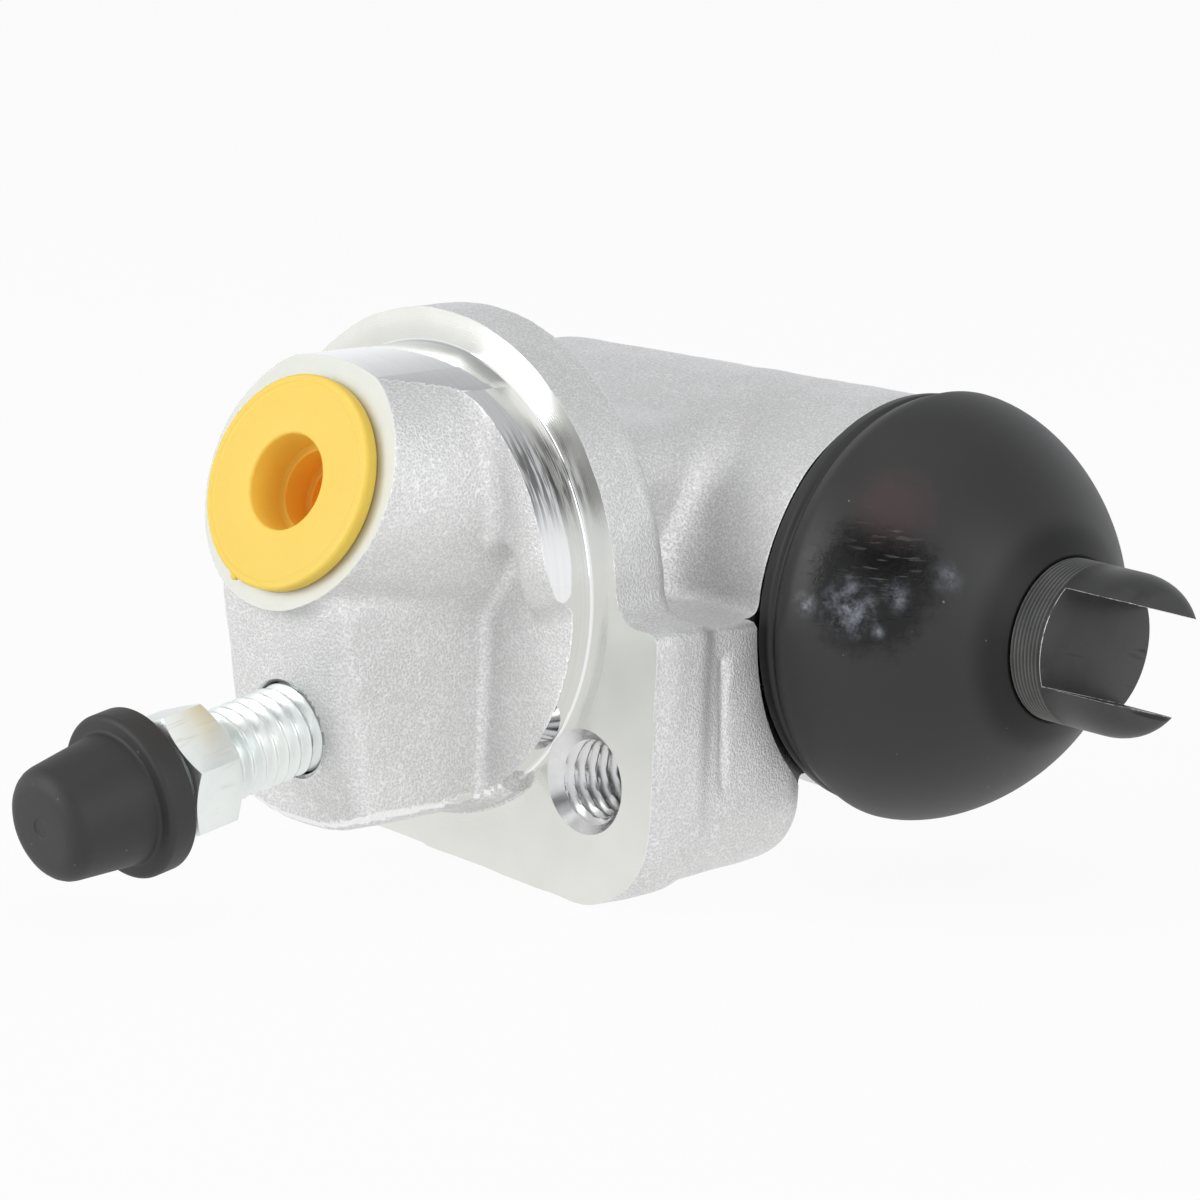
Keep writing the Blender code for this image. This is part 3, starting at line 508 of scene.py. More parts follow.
def surface_net(field, low, step):
    """Quads where a sampled field crosses zero: one point for each crossed cell, one face for each edge."""
    inside = field < 0.0
    cells = tuple(size - 1 for size in field.shape)
    total = np.zeros(cells, np.int8)
    for i, j, k in np.ndindex(2, 2, 2):
        total += inside[i:i + cells[0], j:j + cells[1], k:k + cells[2]]
    index = np.argwhere((total > 0) & (total < 8))
    number = np.full(cells, -1)
    number[tuple(index.T)] = np.arange(len(index))
    place = np.zeros((len(index), 3))
    crossings = np.zeros(len(index))
    for axis in range(3):
        unit = np.eye(3, dtype=int)[axis]
        for i, j in np.ndindex(2, 2):
            corner = np.insert(np.array((i, j)), axis, 0)
            start = field[tuple((index + corner).T)]
            end = field[tuple((index + corner + unit).T)]
            crossed = (start < 0.0) != (end < 0.0)
            share = start[crossed] / (start[crossed] - end[crossed])
            place[crossed] += corner + share[:, None] * unit
            crossings[crossed] += 1.0
    points = low + step * (index + place / crossings[:, None])
    faces = []
    for axis in range(3):
        unit = np.eye(3, dtype=int)
        ahead = unit[axis]
        u, v = unit[(axis + 1) % 3], unit[(axis + 2) % 3]
        size = np.array(field.shape)
        near = inside[tuple(slice(0, n - a) for n, a in zip(size, ahead))]
        far = inside[tuple(slice(a, n) for n, a in zip(size, ahead))]
        edges = np.argwhere(near != far)
        edges = edges[np.all((edges >= u + v) & (edges < size - 1), axis=1)]
        loop = [number[tuple(e.T)] for e in (edges, edges - u, edges - u - v, edges - v)]
        quads = np.stack(loop, axis=1)
        backwards = ~inside[tuple(edges.T)]
        quads[backwards] = quads[backwards][:, ::-1]
        faces.append(quads)
    return points, np.concatenate(faces)


axes = [np.arange(low, high, FIELD_STEP) for low, high in zip(FIELD_LOW, FIELD_HIGH)]
X, Y, Z = np.meshgrid(*axes, indexing="ij")
print("samples:", X.size)

# %% [markdown]
# ### Flange, barrel and lugs
# The flange is round at the top and square below, with one lug standing out to the right. Behind it a
# short neck carries the tapered barrel, and a thick boss backs up each tapped hole.

# %% Flange, neck, barrel and lug bosses
FLANGE_THICKNESS = 6.1
FLANGE_RADIUS = 22.4
FLANGE_LEFT = -22.5
FLANGE_CORNER = 9.3
STOCK = 0.6
LUG_SIDE = 27.3
LUG_TOP = -0.4
LUG_BOTTOM = -25.3
LUG_REACH = 10.6
LUG_DEPTH = 20.0
BOTTOM_SLOPE = 2.3 / 49.8
DRAFT = 0.025
BARREL_END = -21.0
BARREL_MOUTH = 30.6
BARREL_RADII = (16.0, 17.4)
NECK_HALF = (15.0, 13.0)


def flange_form():
    disc = np.hypot(X, Z) - FLANGE_RADIUS
    bottom = LUG_BOTTOM + BOTTOM_SLOPE * (LUG_SIDE - X) - Z
    square = round_trim(X - LUG_SIDE, bottom, FLANGE_CORNER)
    square = round_trim(square, FLANGE_LEFT + 0.1 - X, FLANGE_CORNER)
    square = round_trim(square, Z - LUG_TOP, 0.9)
    outline = np.where(X > 0.0, round_join(disc, square, 2.6), np.minimum(disc, square))
    return np.maximum(round_trim(outline, Y - FLANGE_THICKNESS, 1.1), -STOCK - Y)


def lug_form(centre, side, top, bottom, towards):
    """A drafted block behind the flange, rounded at its corners and its back."""
    draft = DRAFT * Y
    outer = towards * (X - side) + draft
    inner = -towards * (X - centre.x) - LUG_REACH + draft
    block = round_trim(outer, bottom - Z + draft, 6.0)
    block = round_trim(block, Z - top + draft, 0.7)
    block = np.maximum(block, inner)
    block = round_trim(block, span(Y, -0.5, LUG_DEPTH), 3.2)
    if towards < 0.0:
        return block
    crease = np.hypot(X - side, (Y - 8.3 + 0.06 * (Z + 8.0)) * 1.3) - 0.42
    return round_cut(block, np.maximum(crease, np.abs(Z + 9.0) - 5.5), 0.4)


def barrel_form():
    radius = np.hypot(Y - BORE.y, Z - BORE.z)
    taper = np.interp(X, (BARREL_END, 25.6), BARREL_RADII)
    return round_trim(radius - taper, BARREL_END - X, 3.0)


def back_form():
    neck = round_trim(np.abs(X) - NECK_HALF[0], np.abs(Z) - NECK_HALF[1], 5.0)
    neck = np.maximum(neck, span(Y, 2.0, BORE.y))
    body = round_join(barrel_form(), neck, 2.6 + 3.0 * np.clip((6.0 - Z) / 8.0, 0.0, 1.0))
    for centre, side, top, bottom, towards in (
            (SCREWS[0], LUG_SIDE - 0.12, -0.6, LUG_BOTTOM + 1.6, 1.0),
            (SCREWS[1], FLANGE_LEFT + 0.45, -6.4, -21.7, -1.0)):
        body = round_join(body, lug_form(centre, side, top, bottom, towards), 1.1)
    return np.maximum(round_join(body, flange_form(), 1.2), FLANGE_LEFT + 0.02 - X)


# %% [markdown]
# ### The front bosses
# What passes through the backing plate is a low round step, a higher pad on its upper half with a
# pocket beside the boss, the drafted inlet boss, and the block that holds the bleed screw.

# %% Pilot, inlet boss and bleed block
CAST_PILOT = 20.3
FRONT_BASE = 3.0
PAD_HEIGHT = 4.9
PAD_LIP = -1.3
POCKET_SIDES = (9.0, 15.2)
POCKET_TOP = 5.2
BLEED_HALF_WIDTH = 9.3
INLET_RADIUS = 10.6
INLET_FOOT = Vector((0.5, -PAD_HEIGHT, 8.5))
INLET_FOOT_RADIUS = 12.2


def from_axis(origin, axis):
    """How far each sample is along an axis, and how far from it."""
    offset = [place - value for place, value in zip((X, Y, Z), origin)]
    depth = sum(part * value for part, value in zip(offset, axis))
    return depth, np.sqrt(np.maximum(sum(part * part for part in offset) - depth * depth, 0.0))


def inlet_form():
    rise = INLET - INLET_FOOT
    slope = (INLET_FOOT_RADIUS - INLET_RADIUS) / rise.length
    depth, radial = from_axis(INLET_FOOT, rise.normalized())
    wall = (radial - INLET_FOOT_RADIUS + slope * depth) * cos(atan2(slope, 1.0))
    face, _ = from_axis(INLET, INLET_AXIS)
    return np.maximum(np.maximum(wall, face - 1.5), Y - FRONT_BASE)


def bleed_form():
    ahead = BLEED_AXIS.y * (Y - BLEED.y) + BLEED_AXIS.z * (Z - BLEED.z)
    half = BLEED_HALF_WIDTH - 0.105 * (-Y - 0.4)
    side = np.abs(X) - half
    block = round_trim(side, Z - 1.4, 2.2)
    block = round_trim(block, ahead, 1.7)
    block = round_trim(block, np.hypot(X, Z) - CAST_PILOT + 0.1, 1.0)
    return np.maximum(block, Y - FRONT_BASE)


def front_form():
    radius = np.hypot(X, Z)
    low_step = round_trim(radius - CAST_PILOT, -2.0 - Y, 0.6)
    low_step = np.maximum(low_step, Y - FRONT_BASE)
    lip = PAD_LIP + 0.035 * np.maximum(np.abs(X) - 12.0, 0.0) ** 2
    pad = round_trim(radius - CAST_PILOT - 1.0, lip - Z, 1.0)
    pocket = round_trim(span(np.abs(X), *POCKET_SIDES), Z - POCKET_TOP, 1.4)
    pad = round_cut(pad, pocket, 0.8)
    pad = round_trim(pad, -PAD_HEIGHT - Y, 0.5)
    pad = round_trim(pad, 0.62 * (lip - Z) - 0.78 * (PAD_HEIGHT + Y) + 1.3, 1.6)
    pad = np.maximum(pad, Y - FRONT_BASE)
    front = round_join(low_step, pad, 1.0)
    bosses = round_join(inlet_form(), bleed_form(), 0.8)
    return round_join(front, bosses, 0.9)


def wander():
    """Slow unevenness of the blasted casting, a few hundredths of a millimetre."""
    rng = np.random.default_rng(7)
    total = np.zeros_like(X)
    for _ in range(10):
        direction = rng.normal(size=3)
        direction /= np.linalg.norm(direction) * rng.uniform(3.0, 8.0) / (2.0 * pi)
        total += np.sin(X * direction[0] + Y * direction[1] + Z * direction[2] + rng.uniform(0.0, 2.0 * pi))
    return total * 0.012


# %% Sample the casting
field = round_join(back_form(), front_form(), 0.8)
field = field + wander()
field = np.maximum(field, X - BARREL_MOUTH)
net_points, net_faces = surface_net(field, FIELD_LOW, FIELD_STEP)
casting = shape("casting", net_points, net_faces.tolist())
count(casting)

# %% [markdown]
# ## Machining the casting
# The real casting is then machined, and so is this one: cutters take away the stock on the mounting face,
# turn the pilot, mill the inlet face, and bore, countersink and tap the holes. The edges these cuts leave
# are crisp, which is what tells machined metal from cast skin.
# The thread is a Geometry Nodes tree, because its shape follows a rule: a cylinder whose points move
# inwards with the height of a wave that climbs one pitch for each turn.

# %% The thread tree
def new_tree(name, numbers, counts=()):
    """A Geometry Nodes tree with named inputs, and the sockets that bring them in."""
    tree = bpy.data.node_groups.new(name, "GeometryNodeTree")
    for kind, entries in (("NodeSocketFloat", numbers), ("NodeSocketInt", counts)):
        for label, value in entries:
            tree.interface.new_socket(label, in_out="INPUT", socket_type=kind).default_value = value
    tree.interface.new_socket("Material", in_out="INPUT", socket_type="NodeSocketMaterial")
    tree.interface.new_socket("Geometry", in_out="OUTPUT", socket_type="NodeSocketGeometry")
    graph = Graph(tree)
    return graph, graph.node("NodeGroupInput").outputs


def close_tree(graph, mesh, material):
    real = graph.node("GeometryNodeRealizeInstances", None, Geometry=mesh)
    done = graph.node("GeometryNodeSetMaterial", None, Geometry=real.outputs[0], Material=material)
    graph.node("NodeGroupOutput", None, _0=done.outputs[0])
    return graph.tree


def thread_tree():
    graph, given = new_tree("helical_thread", (
        ("Crest Radius", 0.004), ("Depth", 0.0006), ("Pitch", 0.00125), ("Length", 0.01),
        ("Run In", 0.001), ("Run Out", 0.001)), (("Segments", 72), ("Rings", 80)))
    crest, depth, pitch, length, run_in, run_out = (graph.number(given[i]) for i in range(6))
    cylinder = graph.node("GeometryNodeMeshCylinder", {"fill_type": "NGON"}, Vertices=given["Segments"],
                          Side_Segments=given["Rings"], Radius=given["Crest Radius"], Depth=given["Length"])
    where = graph.node("ShaderNodeSeparateXYZ", None, _0=graph.node("GeometryNodeInputPosition").outputs[0])
    x, y, z = (graph.number(socket) for socket in where.outputs)
    turn = y.math("ARCTAN2", x) / (2.0 * pi)
    phase = (z / pitch - turn).math("FLOORED_MODULO", 1.0)
    wave = ((phase - 0.5).math("ABSOLUTE") * 2.6 - 0.15).clip(0.0, 1.0)
    start = ((z + length * 0.5) / run_in).clip(0.0, 1.0)
    end = ((length * 0.5 - z) / run_out).clip(0.0, 1.0)
    scale = 1.0 - wave * start * end * depth / crest
    moved = graph.node("ShaderNodeCombineXYZ", None, X=x * scale, Y=y * scale, Z=z)
    placed = graph.node("GeometryNodeSetPosition", None, Geometry=cylinder.outputs[0],
                        Position=moved.outputs[0])
    return close_tree(graph, placed.outputs[0], given["Material"])


THREAD = thread_tree()


def from_tree(name, tree, place, **inputs):
    """Run a Geometry Nodes tree on an empty object and keep its result as a mesh."""
    made = bpy.data.objects.new(name, bpy.data.meshes.new(name))
    bpy.context.scene.collection.objects.link(made)
    modifier = made.modifiers.new("nodes", "NODES")
    modifier.node_group = tree
    sockets = {item.name: item.identifier for item in tree.interface.items_tree if item.in_out == "INPUT"}
    for label, value in inputs.items():
        modifier[sockets[label.replace("_", " ")]] = value
    settle(made)
    metres = Matrix.Translation(place.to_translation() * MM) @ place.to_3x3().to_4x4()
    made.data.transform(metres)
    made.data.update()
    crisp(made.data)
    return made


UPRIGHT_TO_X = Matrix.Rotation(pi / 2.0, 4, "Y")

# %% Cutters for the machined faces
TAP_DEPTH = 16.0
TOOL_NOSE = 0.25
CUTTER_RADIUS = 60.0
CUTTER_LENGTH = 45.0
FOOT_HALF_ANGLE = radians(36.0)
FOOT_OVERLAP = radians(4.0)
BOOT_SEAT = 25.3
SEAT_RADIUS = 19.0
TURNING = {
    "mill_inlet": (ON_INLET, [(0.0, 0.0), (0.0, 20.0), (12.0, 20.0), (12.0, 0.0)]),
    "bore_port": (ON_INLET, [(3.0, 0.0), (3.0, 6.6), (0.0, 6.0), (-0.5, 5.5), (-11.0, 5.5), (-13.0, 1.2),
                             (-40.0, 1.2), (-40.0, 0.0)]),
    "drill_bleed": (ON_BLEED, [(6.0, 0.0), (6.0, 4.5), (0.1, 4.5), (-0.3, 4.1), (-13.0, 4.1), (-16.0, 1.2),
                               (-40.0, 1.2), (-40.0, 0.0)]),
    "bore_barrel": (ON_BORE, [(-16.0, 0.0), (-16.0, 11.9), (29.0, 11.9), (31.5, 14.4), (31.5, 0.0)]),
    "turn_boot_seat": (ON_BORE, [(BOOT_SEAT, SEAT_RADIUS), (BOOT_SEAT, 15.6), (28.1, 15.6), (28.1, 16.4),
                                 (29.5, 16.4), (30.0, 15.9), (30.0, 0.0), (34.0, 0.0), (34.0, SEAT_RADIUS)])}
COUNTERSINK = [(8.0, 0.0), (8.0, 4.6), (0.0, 4.45), (-1.3, 3.3), (-1.3, 0.0)]


def sector(name, inner, start, end, steps):
    """A ring sector about the pilot's axis, from the mounting face outwards."""
    nose = TOOL_NOSE
    profile = [(0.0, inner + nose)]
    profile += [(-nose * (1.0 - cos(0.5 * pi * k / 4)), inner + nose * (1.0 - sin(0.5 * pi * k / 4)))
                for k in range(1, 5)]
    profile += [(-CUTTER_LENGTH, inner), (-CUTTER_LENGTH, CUTTER_RADIUS), (0.0, CUTTER_RADIUS)]
    n = len(profile)
    points = []
    for k in range(steps + 1):
        angle = start + (end - start) * k / steps
        points += [(radius * cos(angle), y, radius * sin(angle)) for y, radius in profile]
    faces = [[n * k + i, n * k + (i + 1) % n, n * k + n + (i + 1) % n, n * k + n + i]
             for k in range(steps) for i in range(n)]
    faces += [list(range(n)), [n * steps + i for i in range(n)]]
    return shape(name, points, faces)


def machine_casting():
    gap, lap = FOOT_HALF_ANGLE, FOOT_OVERLAP
    boolean(casting, sector("turn_pilot", PILOT_RADIUS, -pi / 2 + gap, 1.5 * pi - gap, 240))
    boolean(casting, sector("face_foot", CAST_PILOT + 0.3, -pi / 2 - gap - lap, -pi / 2 + gap + lap, 60))
    for name, (place, profile) in TURNING.items():
        boolean(casting, lathe(name, profile, place))
    for i, centre in enumerate(SCREWS):
        boolean(casting, lathe(f"countersink_{i}", COUNTERSINK, along(centre, OUTWARD)))
        middle = along(centre - OUTWARD * (TAP_DEPTH / 2.0), OUTWARD)
        tap = from_tree(f"tap_{i}", THREAD, middle @ UPRIGHT_TO_X, Crest_Radius=3.98 * MM, Depth=0.66 * MM,
                        Pitch=COARSE_PITCH * MM, Length=TAP_DEPTH * MM, Run_In=0.05 * MM, Run_Out=0.05 * MM,
                        Segments=72, Rings=144)
        boolean(casting, tap)


machine_casting()
count(casting)

# %% [markdown]
# ### Which faces are machined
# A face's place and direction say which cutter made it, so the finishes are given by measuring, not by
# hand. The cast skin's corners that touch a machined face are marked for the lighter edge: rubbed metal and a
# painted edge highlight.

# %% Finishes of the casting
def distance_to_axis(points, origin, axis):
    offset = points - np.array(origin)
    depth = offset @ np.array(axis)
    return np.linalg.norm(offset - depth[:, None] * np.array(axis), axis=1), depth


def read(items, label, kind=float, width=1):
    """One property of all faces, corners or points as an array."""
    values = np.empty(len(items) * width, kind)
    items.foreach_get(label, values)
    return values.reshape(-1, width) if width > 1 else values


def face_kinds(mesh):
    """The index of each face's material."""
    milled, turned, satin, bored = 1, 2, 3, 4
    centre = read(mesh.polygons, "center", width=3) / MM
    normal = read(mesh.polygons, "normal", width=3)
    kind = np.zeros(len(centre), int)
    radius = np.hypot(centre[:, 0], centre[:, 2])
    outwards = (normal[:, 0] * centre[:, 0] + normal[:, 2] * centre[:, 2]) / np.maximum(radius, 1e-6)
    kind[(np.abs(centre[:, 1]) < 0.01) & (normal[:, 1] < -0.99)] = milled
    wall = (radius > PILOT_RADIUS - 0.02) & (radius < PILOT_RADIUS + TOOL_NOSE)
    kind[wall & (outwards > 0.1) & (centre[:, 1] < -0.002)] = turned
    reach, depth = distance_to_axis(centre, INLET, INLET_AXIS)
    kind[(np.abs(depth) < 0.01) & (reach < 20.0)] = satin
    kind[(reach < 6.1) & (depth > -30.0) & (depth < 0.0)] = bored
    reach, depth = distance_to_axis(centre, BLEED, BLEED_AXIS)
    kind[(reach < 4.55) & (depth > -30.0) & (depth < 0.5)] = bored
    reach, depth = distance_to_axis(centre, BORE, (1.0, 0.0, 0.0))
    kind[(reach < 14.5) & (depth > -16.5)] = bored
    shoulder = (np.abs(depth - BOOT_SEAT) < 0.02) & (reach < SEAT_RADIUS)
    kind[shoulder | (reach < 16.5) & (depth > BOOT_SEAT - 0.01)] = bored
    for screw in SCREWS:
        reach, depth = distance_to_axis(centre, screw, OUTWARD)
        kind[(reach < 4.6) & (depth > -17.0) & (depth < 8.0) & (kind != milled)] = bored
    return kind


def finish_casting():
    mesh = casting.data
    coat(casting, CAST, MILLED, TURNED, SATIN, BORED)
    kind = face_kinds(mesh)
    mesh.polygons.foreach_set("material_index", kind.astype(np.int32))
    corner_point = read(mesh.loops, "vertex_index", int)
    corner_kind = np.repeat(kind, read(mesh.polygons, "loop_total", int))
    touched = np.zeros(len(mesh.vertices), bool)
    touched[corner_point[corner_kind > 0]] = True
    place = read(mesh.vertices, "co", width=3) / MM
    foot = np.hypot(place[:, 0], place[:, 2]) < CAST_PILOT + 0.6
    low = (place[:, 2] < -10.0) & (place[:, 1] > -3.0)
    touched &= ~(foot & (low | (place[:, 1] > -0.6)))
    touched &= distance_to_axis(place, BLEED, BLEED_AXIS)[0] > 5.5
    # The edge attribute carries the lighter edge colour, rubbed metal and a painted highlight; edges in shade
    # are left out.
    edge = (touched[corner_point] & (corner_kind == 0)).astype(np.float32)
    mesh.attributes.new("edge", "FLOAT", "CORNER").data.foreach_set("value", edge)
    crisp(mesh)
    print("machined faces:", int((kind > 0).sum()))


finish_casting()
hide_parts("body")
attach(casting, "casting")

# %% [markdown]
# ## The dust boot
# The boot is moulded rubber with a thick bead that snaps into a groove in the barrel, a bulging dome and
# a lip round the stem. It is turned from one profile. When the piston moves out the lip goes with the
# stem and the bead stays.

# %% Rubber finishes
def boot_rubber():
    rubber = Finish("boot_rubber", Coat_Roughness=0.28)
    radius = rubber.radius_about(BORE)
    cloud = rubber.noise(75.0, 3.0, 0.6)
    grain = rubber.noise(1500.0, 2.0)
    ragged = rubber.noise(520.0, 4.0, 0.75) - 0.5
    rings = rubber.brushed(900.0, 8.0, 8.0, 1.0, 0.5)

    def smear(x, y, z, size, soft, rag):
        """1 in a ragged patch about a point in millimetres, 0 away from it."""
        away = rubber.vector("DISTANCE", "Value", rubber.place, (x * MM, y * MM, z * MM))
        return (rubber.number(away) / MM + ragged * rag).fade(size + soft, size - soft)

    wet = smear(35.2, 16.6, 3.2, 5.4, 1.4, 5.0)
    oil = smear(35.3, 18.8, 9.6, 2.9, 2.0, 3.0)
    broken = rubber.noise(900.0, 4.0, 0.7).fade(0.30, 0.72)
    # Painted highlight: bluish-white ragged spots in the wet patch stand in for reflections of the lamps.
    painted_highlight = smear(34.6, 14.7, 1.5, 1.5, 1.5, 3.4)
    for spot in ((31.3, 13.1, 1.2, 0.4, 1.0, 1.8), (37.6, 17.2, 2.6, 0.4, 1.3, 2.2),
                 (36.9, 15.8, -0.3, 0.3, 0.6, 1.2), (40.2, 20.3, 4.2, 0.4, 1.4, 1.8)):
        painted_highlight = painted_highlight.math("MAXIMUM", smear(*spot))
    painted_highlight = painted_highlight * broken
    streak = rubber.brushed(260.0, 420.0, 2600.0).fade(0.56, 0.68)
    ripple = streak * smear(35.8, 17.6, 5.2, 3.0, 1.6, 3.0)
    dust = rubber.noise(1500.0, 1.0).fade(0.80, 0.83)
    # Painted shadow: the rubber near the mouth is darkened as a contact shadow where the lip meets the stem.
    mouth = radius.fade(0.0105, 0.0084)
    # Dark base colour in the wet patch, partly wet rubber and partly a painted dark reflection, joined with
    # the painted shadow at the mouth; Metallic dims its reflections as well.
    black = (wet * (1.0 - oil) * (1.0 - painted_highlight) * (1.0 - ripple * 0.8)).math("MAXIMUM", mouth * 0.7)
    colour = rubber.mix(cloud, grey(0.013), grey(0.024))
    colour = rubber.mix(black * 0.9, colour, grey(0.010))
    colour = rubber.mix(oil * 0.45, colour, (0.075, 0.038, 0.038, 1.0))
    colour = rubber.mix(ripple * 0.35, colour, (0.13, 0.13, 0.14, 1.0))
    colour = rubber.mix(painted_highlight * 0.80, colour, (0.33, 0.35, 0.41, 1.0))
    colour = rubber.mix(dust * 0.8, colour, grey(0.20))
    bump = rubber.relief(rings, 0.03, 0.35)
    bump = rubber.relief(grain, 0.012, 0.3, bump)
    bump = rubber.relief(ragged + streak * 0.5, 0.10, wet * 0.7, bump)
    rough = 0.44 + cloud * 0.12 - wet * 0.24
    return rubber.give(Base_Color=colour, Roughness=rough, Metallic=black * 0.62, Coat_Weight=wet * 0.12,
                       Normal=bump)


BOOT = boot_rubber()

# %% Dust boot
DOME_START = 29.3
DOME_RADIUS = 18.5
DOME_LENGTH = 17.0
DOME_ALONG = 1.6
DOME_ACROSS = 0.6
MOUTH_RADIUS = 7.6
BOOT_WALL = 1.7


def dome(radius, length, mouth, steps):
    """Outline of a dome that is blunter than an ellipse, from its widest place to the mouth."""
    end = length * (1.0 - (mouth / radius) ** (1.0 / DOME_ACROSS)) ** (1.0 / DOME_ALONG)
    outline = []
    for k in range(steps + 1):
        u = end * sin(0.5 * pi * k / steps)
        outline.append((DOME_START + u, radius * (1.0 - (u / length) ** DOME_ALONG) ** DOME_ACROSS))
    return outline


def boot_piece():
    outer = dome(DOME_RADIUS, DOME_LENGTH, MOUTH_RADIUS, 44)
    mouth_x = outer[-1][0]
    inner = dome(DOME_RADIUS - BOOT_WALL, DOME_LENGTH - BOOT_WALL, MOUTH_RADIUS + BOOT_WALL, 20)
    inner = [point for point in inner if 30.4 < point[0] < mouth_x - 1.4]
    bead = rounded([(25.6, 15.9, 0.0), (25.6, 17.75, 0.55), (27.0, 17.95, 0.6), (27.55, 17.55, 0.35),
                    (28.0, 18.05, 0.4), (28.6, 18.35, 0.0)])[:-1]
    lip = rounded([(mouth_x, MOUTH_RADIUS, 0.0), (mouth_x + 0.25, 7.15, 0.2), (mouth_x + 0.1, 6.6, 0.15),
                   (mouth_x - 1.4, 6.6, 0.0)])[1:]
    profile = bead + outer + lip + inner[::-1] + [(30.0, 16.7), (27.8, 16.7), (27.8, 15.9)]
    boot = lathe("boot", profile, ON_BORE, 160)
    coat(boot, BOOT)
    return boot, mouth_x


boot, MOUTH_X = boot_piece()
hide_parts("dust_boot")
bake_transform(boot)
count(boot)

# %% [markdown]
# ## The slotted stem
# The stem is turned steel with a black finish. The slot across its end takes the shoe's web and leaves two
# prongs, whose turned ends taper. A Bevel modifier breaks the edges and gives its new faces a second
# material, so the wear sits exactly where the black has rubbed off.

# %% Steel finishes
def black_steel():
    steel = Finish("black_steel", Metallic=0.55)
    cloud = steel.noise(320.0, 4.0, 0.6)
    lines = steel.brushed(30.0, 900.0, 900.0, 2.0, 0.5)
    scuff = steel.noise(210.0, 4.0, 0.75).fade(0.66, 0.74)
    radius = steel.radius_about(BORE)
    end = (MOUTH_X + 0.3 + GROOVES * GROOVE_PITCH) * MM
    # Painted highlight: the band over the grooves is lighter in colour.
    groove_highlight = steel.x.fade(end + 0.0001, end - 0.0003) * radius.fade(0.00681, 0.00688)
    across = steel.z * cos(SLOT_TURN) - steel.y * sin(SLOT_TURN)
    marks = steel.node("ShaderNodeCombineXYZ", None, X=steel.x * 60.0, Y=steel.y * 60.0, Z=across * 1300.0)
    scored = steel.noise(1.0, 1.0, 0.5, marks.outputs[0]).fade(0.64, 0.69)
    floor = radius.fade(0.0067, 0.0065)
    colour = steel.mix(cloud, grey(0.034), grey(0.080))
    colour = steel.mix(scored * floor * 0.8, colour, grey(0.008))
    colour = steel.mix(scuff * 0.55, colour, grey(0.30, 0.02))
    colour = steel.mix(groove_highlight * (0.05 + cloud * 0.6), colour, (0.22, 0.23, 0.21, 1.0))
    bump = steel.relief(lines, 0.02, 0.3)
    bump = steel.relief(cloud, 0.03, 0.4, bump)
    return steel.give(Base_Color=colour, Roughness=0.36 + cloud * 0.22, Normal=bump)


def worn_edge():
    steel = Finish("worn_edge", Metallic=1.0)
    patch = steel.noise(900.0, 3.0, 0.7).fade(0.38, 0.56)
    colour = steel.mix(patch, grey(0.12), grey(0.85, 0.01))
    return steel.give(Base_Color=colour, Roughness=0.46 - patch * 0.10)


GROOVES = 8
GROOVE_PITCH = 0.38
SLOT_TURN = radians(-16.0)
BLACK = black_steel()
WORN = worn_edge()

# %% Stem
STEM_START = 14.3
STEM_RADIUS = 6.9
STEM_END = 53.8
TAPER_START = 50.6
END_RADIUS = 5.2
SLOT_DEPTH = 6.5
SLOT_WIDTH = 8.3
GROOVE_DEPTH = 0.11


def stem_piece():
    tail = MOUTH_X + 0.3
    profile = [(STEM_START, 0.0), (STEM_START, 6.1), (15.1, STEM_RADIUS), (tail - 2.0, STEM_RADIUS),
               (tail - 2.0, 6.3), (tail, 6.3)]
    profile += [(tail + GROOVE_PITCH * k / 8.0, STEM_RADIUS - GROOVE_DEPTH * (0.5 - 0.5 * cos(0.25 * pi * k)))
                for k in range(8 * GROOVES + 1)]
    profile += [(TAPER_START + 3.2 * sin(0.5 * pi * k / 10), END_RADIUS + 1.7 * cos(0.5 * pi * k / 10))
                for k in range(11)]
    profile += [(STEM_END, 0.0)]
    stem = lathe("stem_rod", profile, ON_BORE, 160)
    slot = [(x, y, z) for x in (0.0, 12.0) for y in (-9.0, 9.0) for z in (-SLOT_WIDTH / 2, SLOT_WIDTH / 2)]
    sides = [[0, 1, 3, 2], [4, 6, 7, 5], [0, 4, 5, 1], [2, 3, 7, 6], [0, 2, 6, 4], [1, 5, 7, 3]]
    floor = Matrix.Translation(BORE + Vector((STEM_END - SLOT_DEPTH, 0.0, 0.0)))
    turned = floor @ Matrix.Rotation(SLOT_TURN, 4, "X")
    boolean(stem, shape("slot", slot, sides, turned))
    coat(stem, BLACK, WORN)
    break_edges(stem, 50.0, 0.17, 1)
    crisp(stem.data)
    return stem


stem = stem_piece()
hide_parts("stem")
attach(stem, "stem_group")
count(stem)

# %% [markdown]
# ## The bleed screw and its cap
# The screw is zinc plated: bluish white, with faint cloudy patches. Its thread comes from the same tree
# that tapped the holes. The hexagon is cut from a cylinder with 30 degree chamfers, as on the real bar.

# %% Zinc and cap rubber
def zinc_plate():
    zinc = Finish("zinc_plate", Metallic=1.0)
    cloud = zinc.noise(240.0, 3.0, 0.6)
    fine = zinc.noise(2400.0, 2.0, 0.6)
    scratch = zinc.brushed(2600.0, 160.0, 500.0).fade(0.58, 0.72)
    colour = zinc.mix(cloud, (0.74, 0.80, 0.80, 1.0), (0.93, 0.94, 0.91, 1.0))
    colour = zinc.mix(scratch * 0.25, colour, grey(0.55))
    bump = zinc.relief(fine, 0.015, 0.35)
    bump = zinc.relief(scratch, 0.02, 0.3, bump)
    return zinc.give(Base_Color=colour, Roughness=0.33 + cloud * 0.14 + scratch * 0.10, Normal=bump)


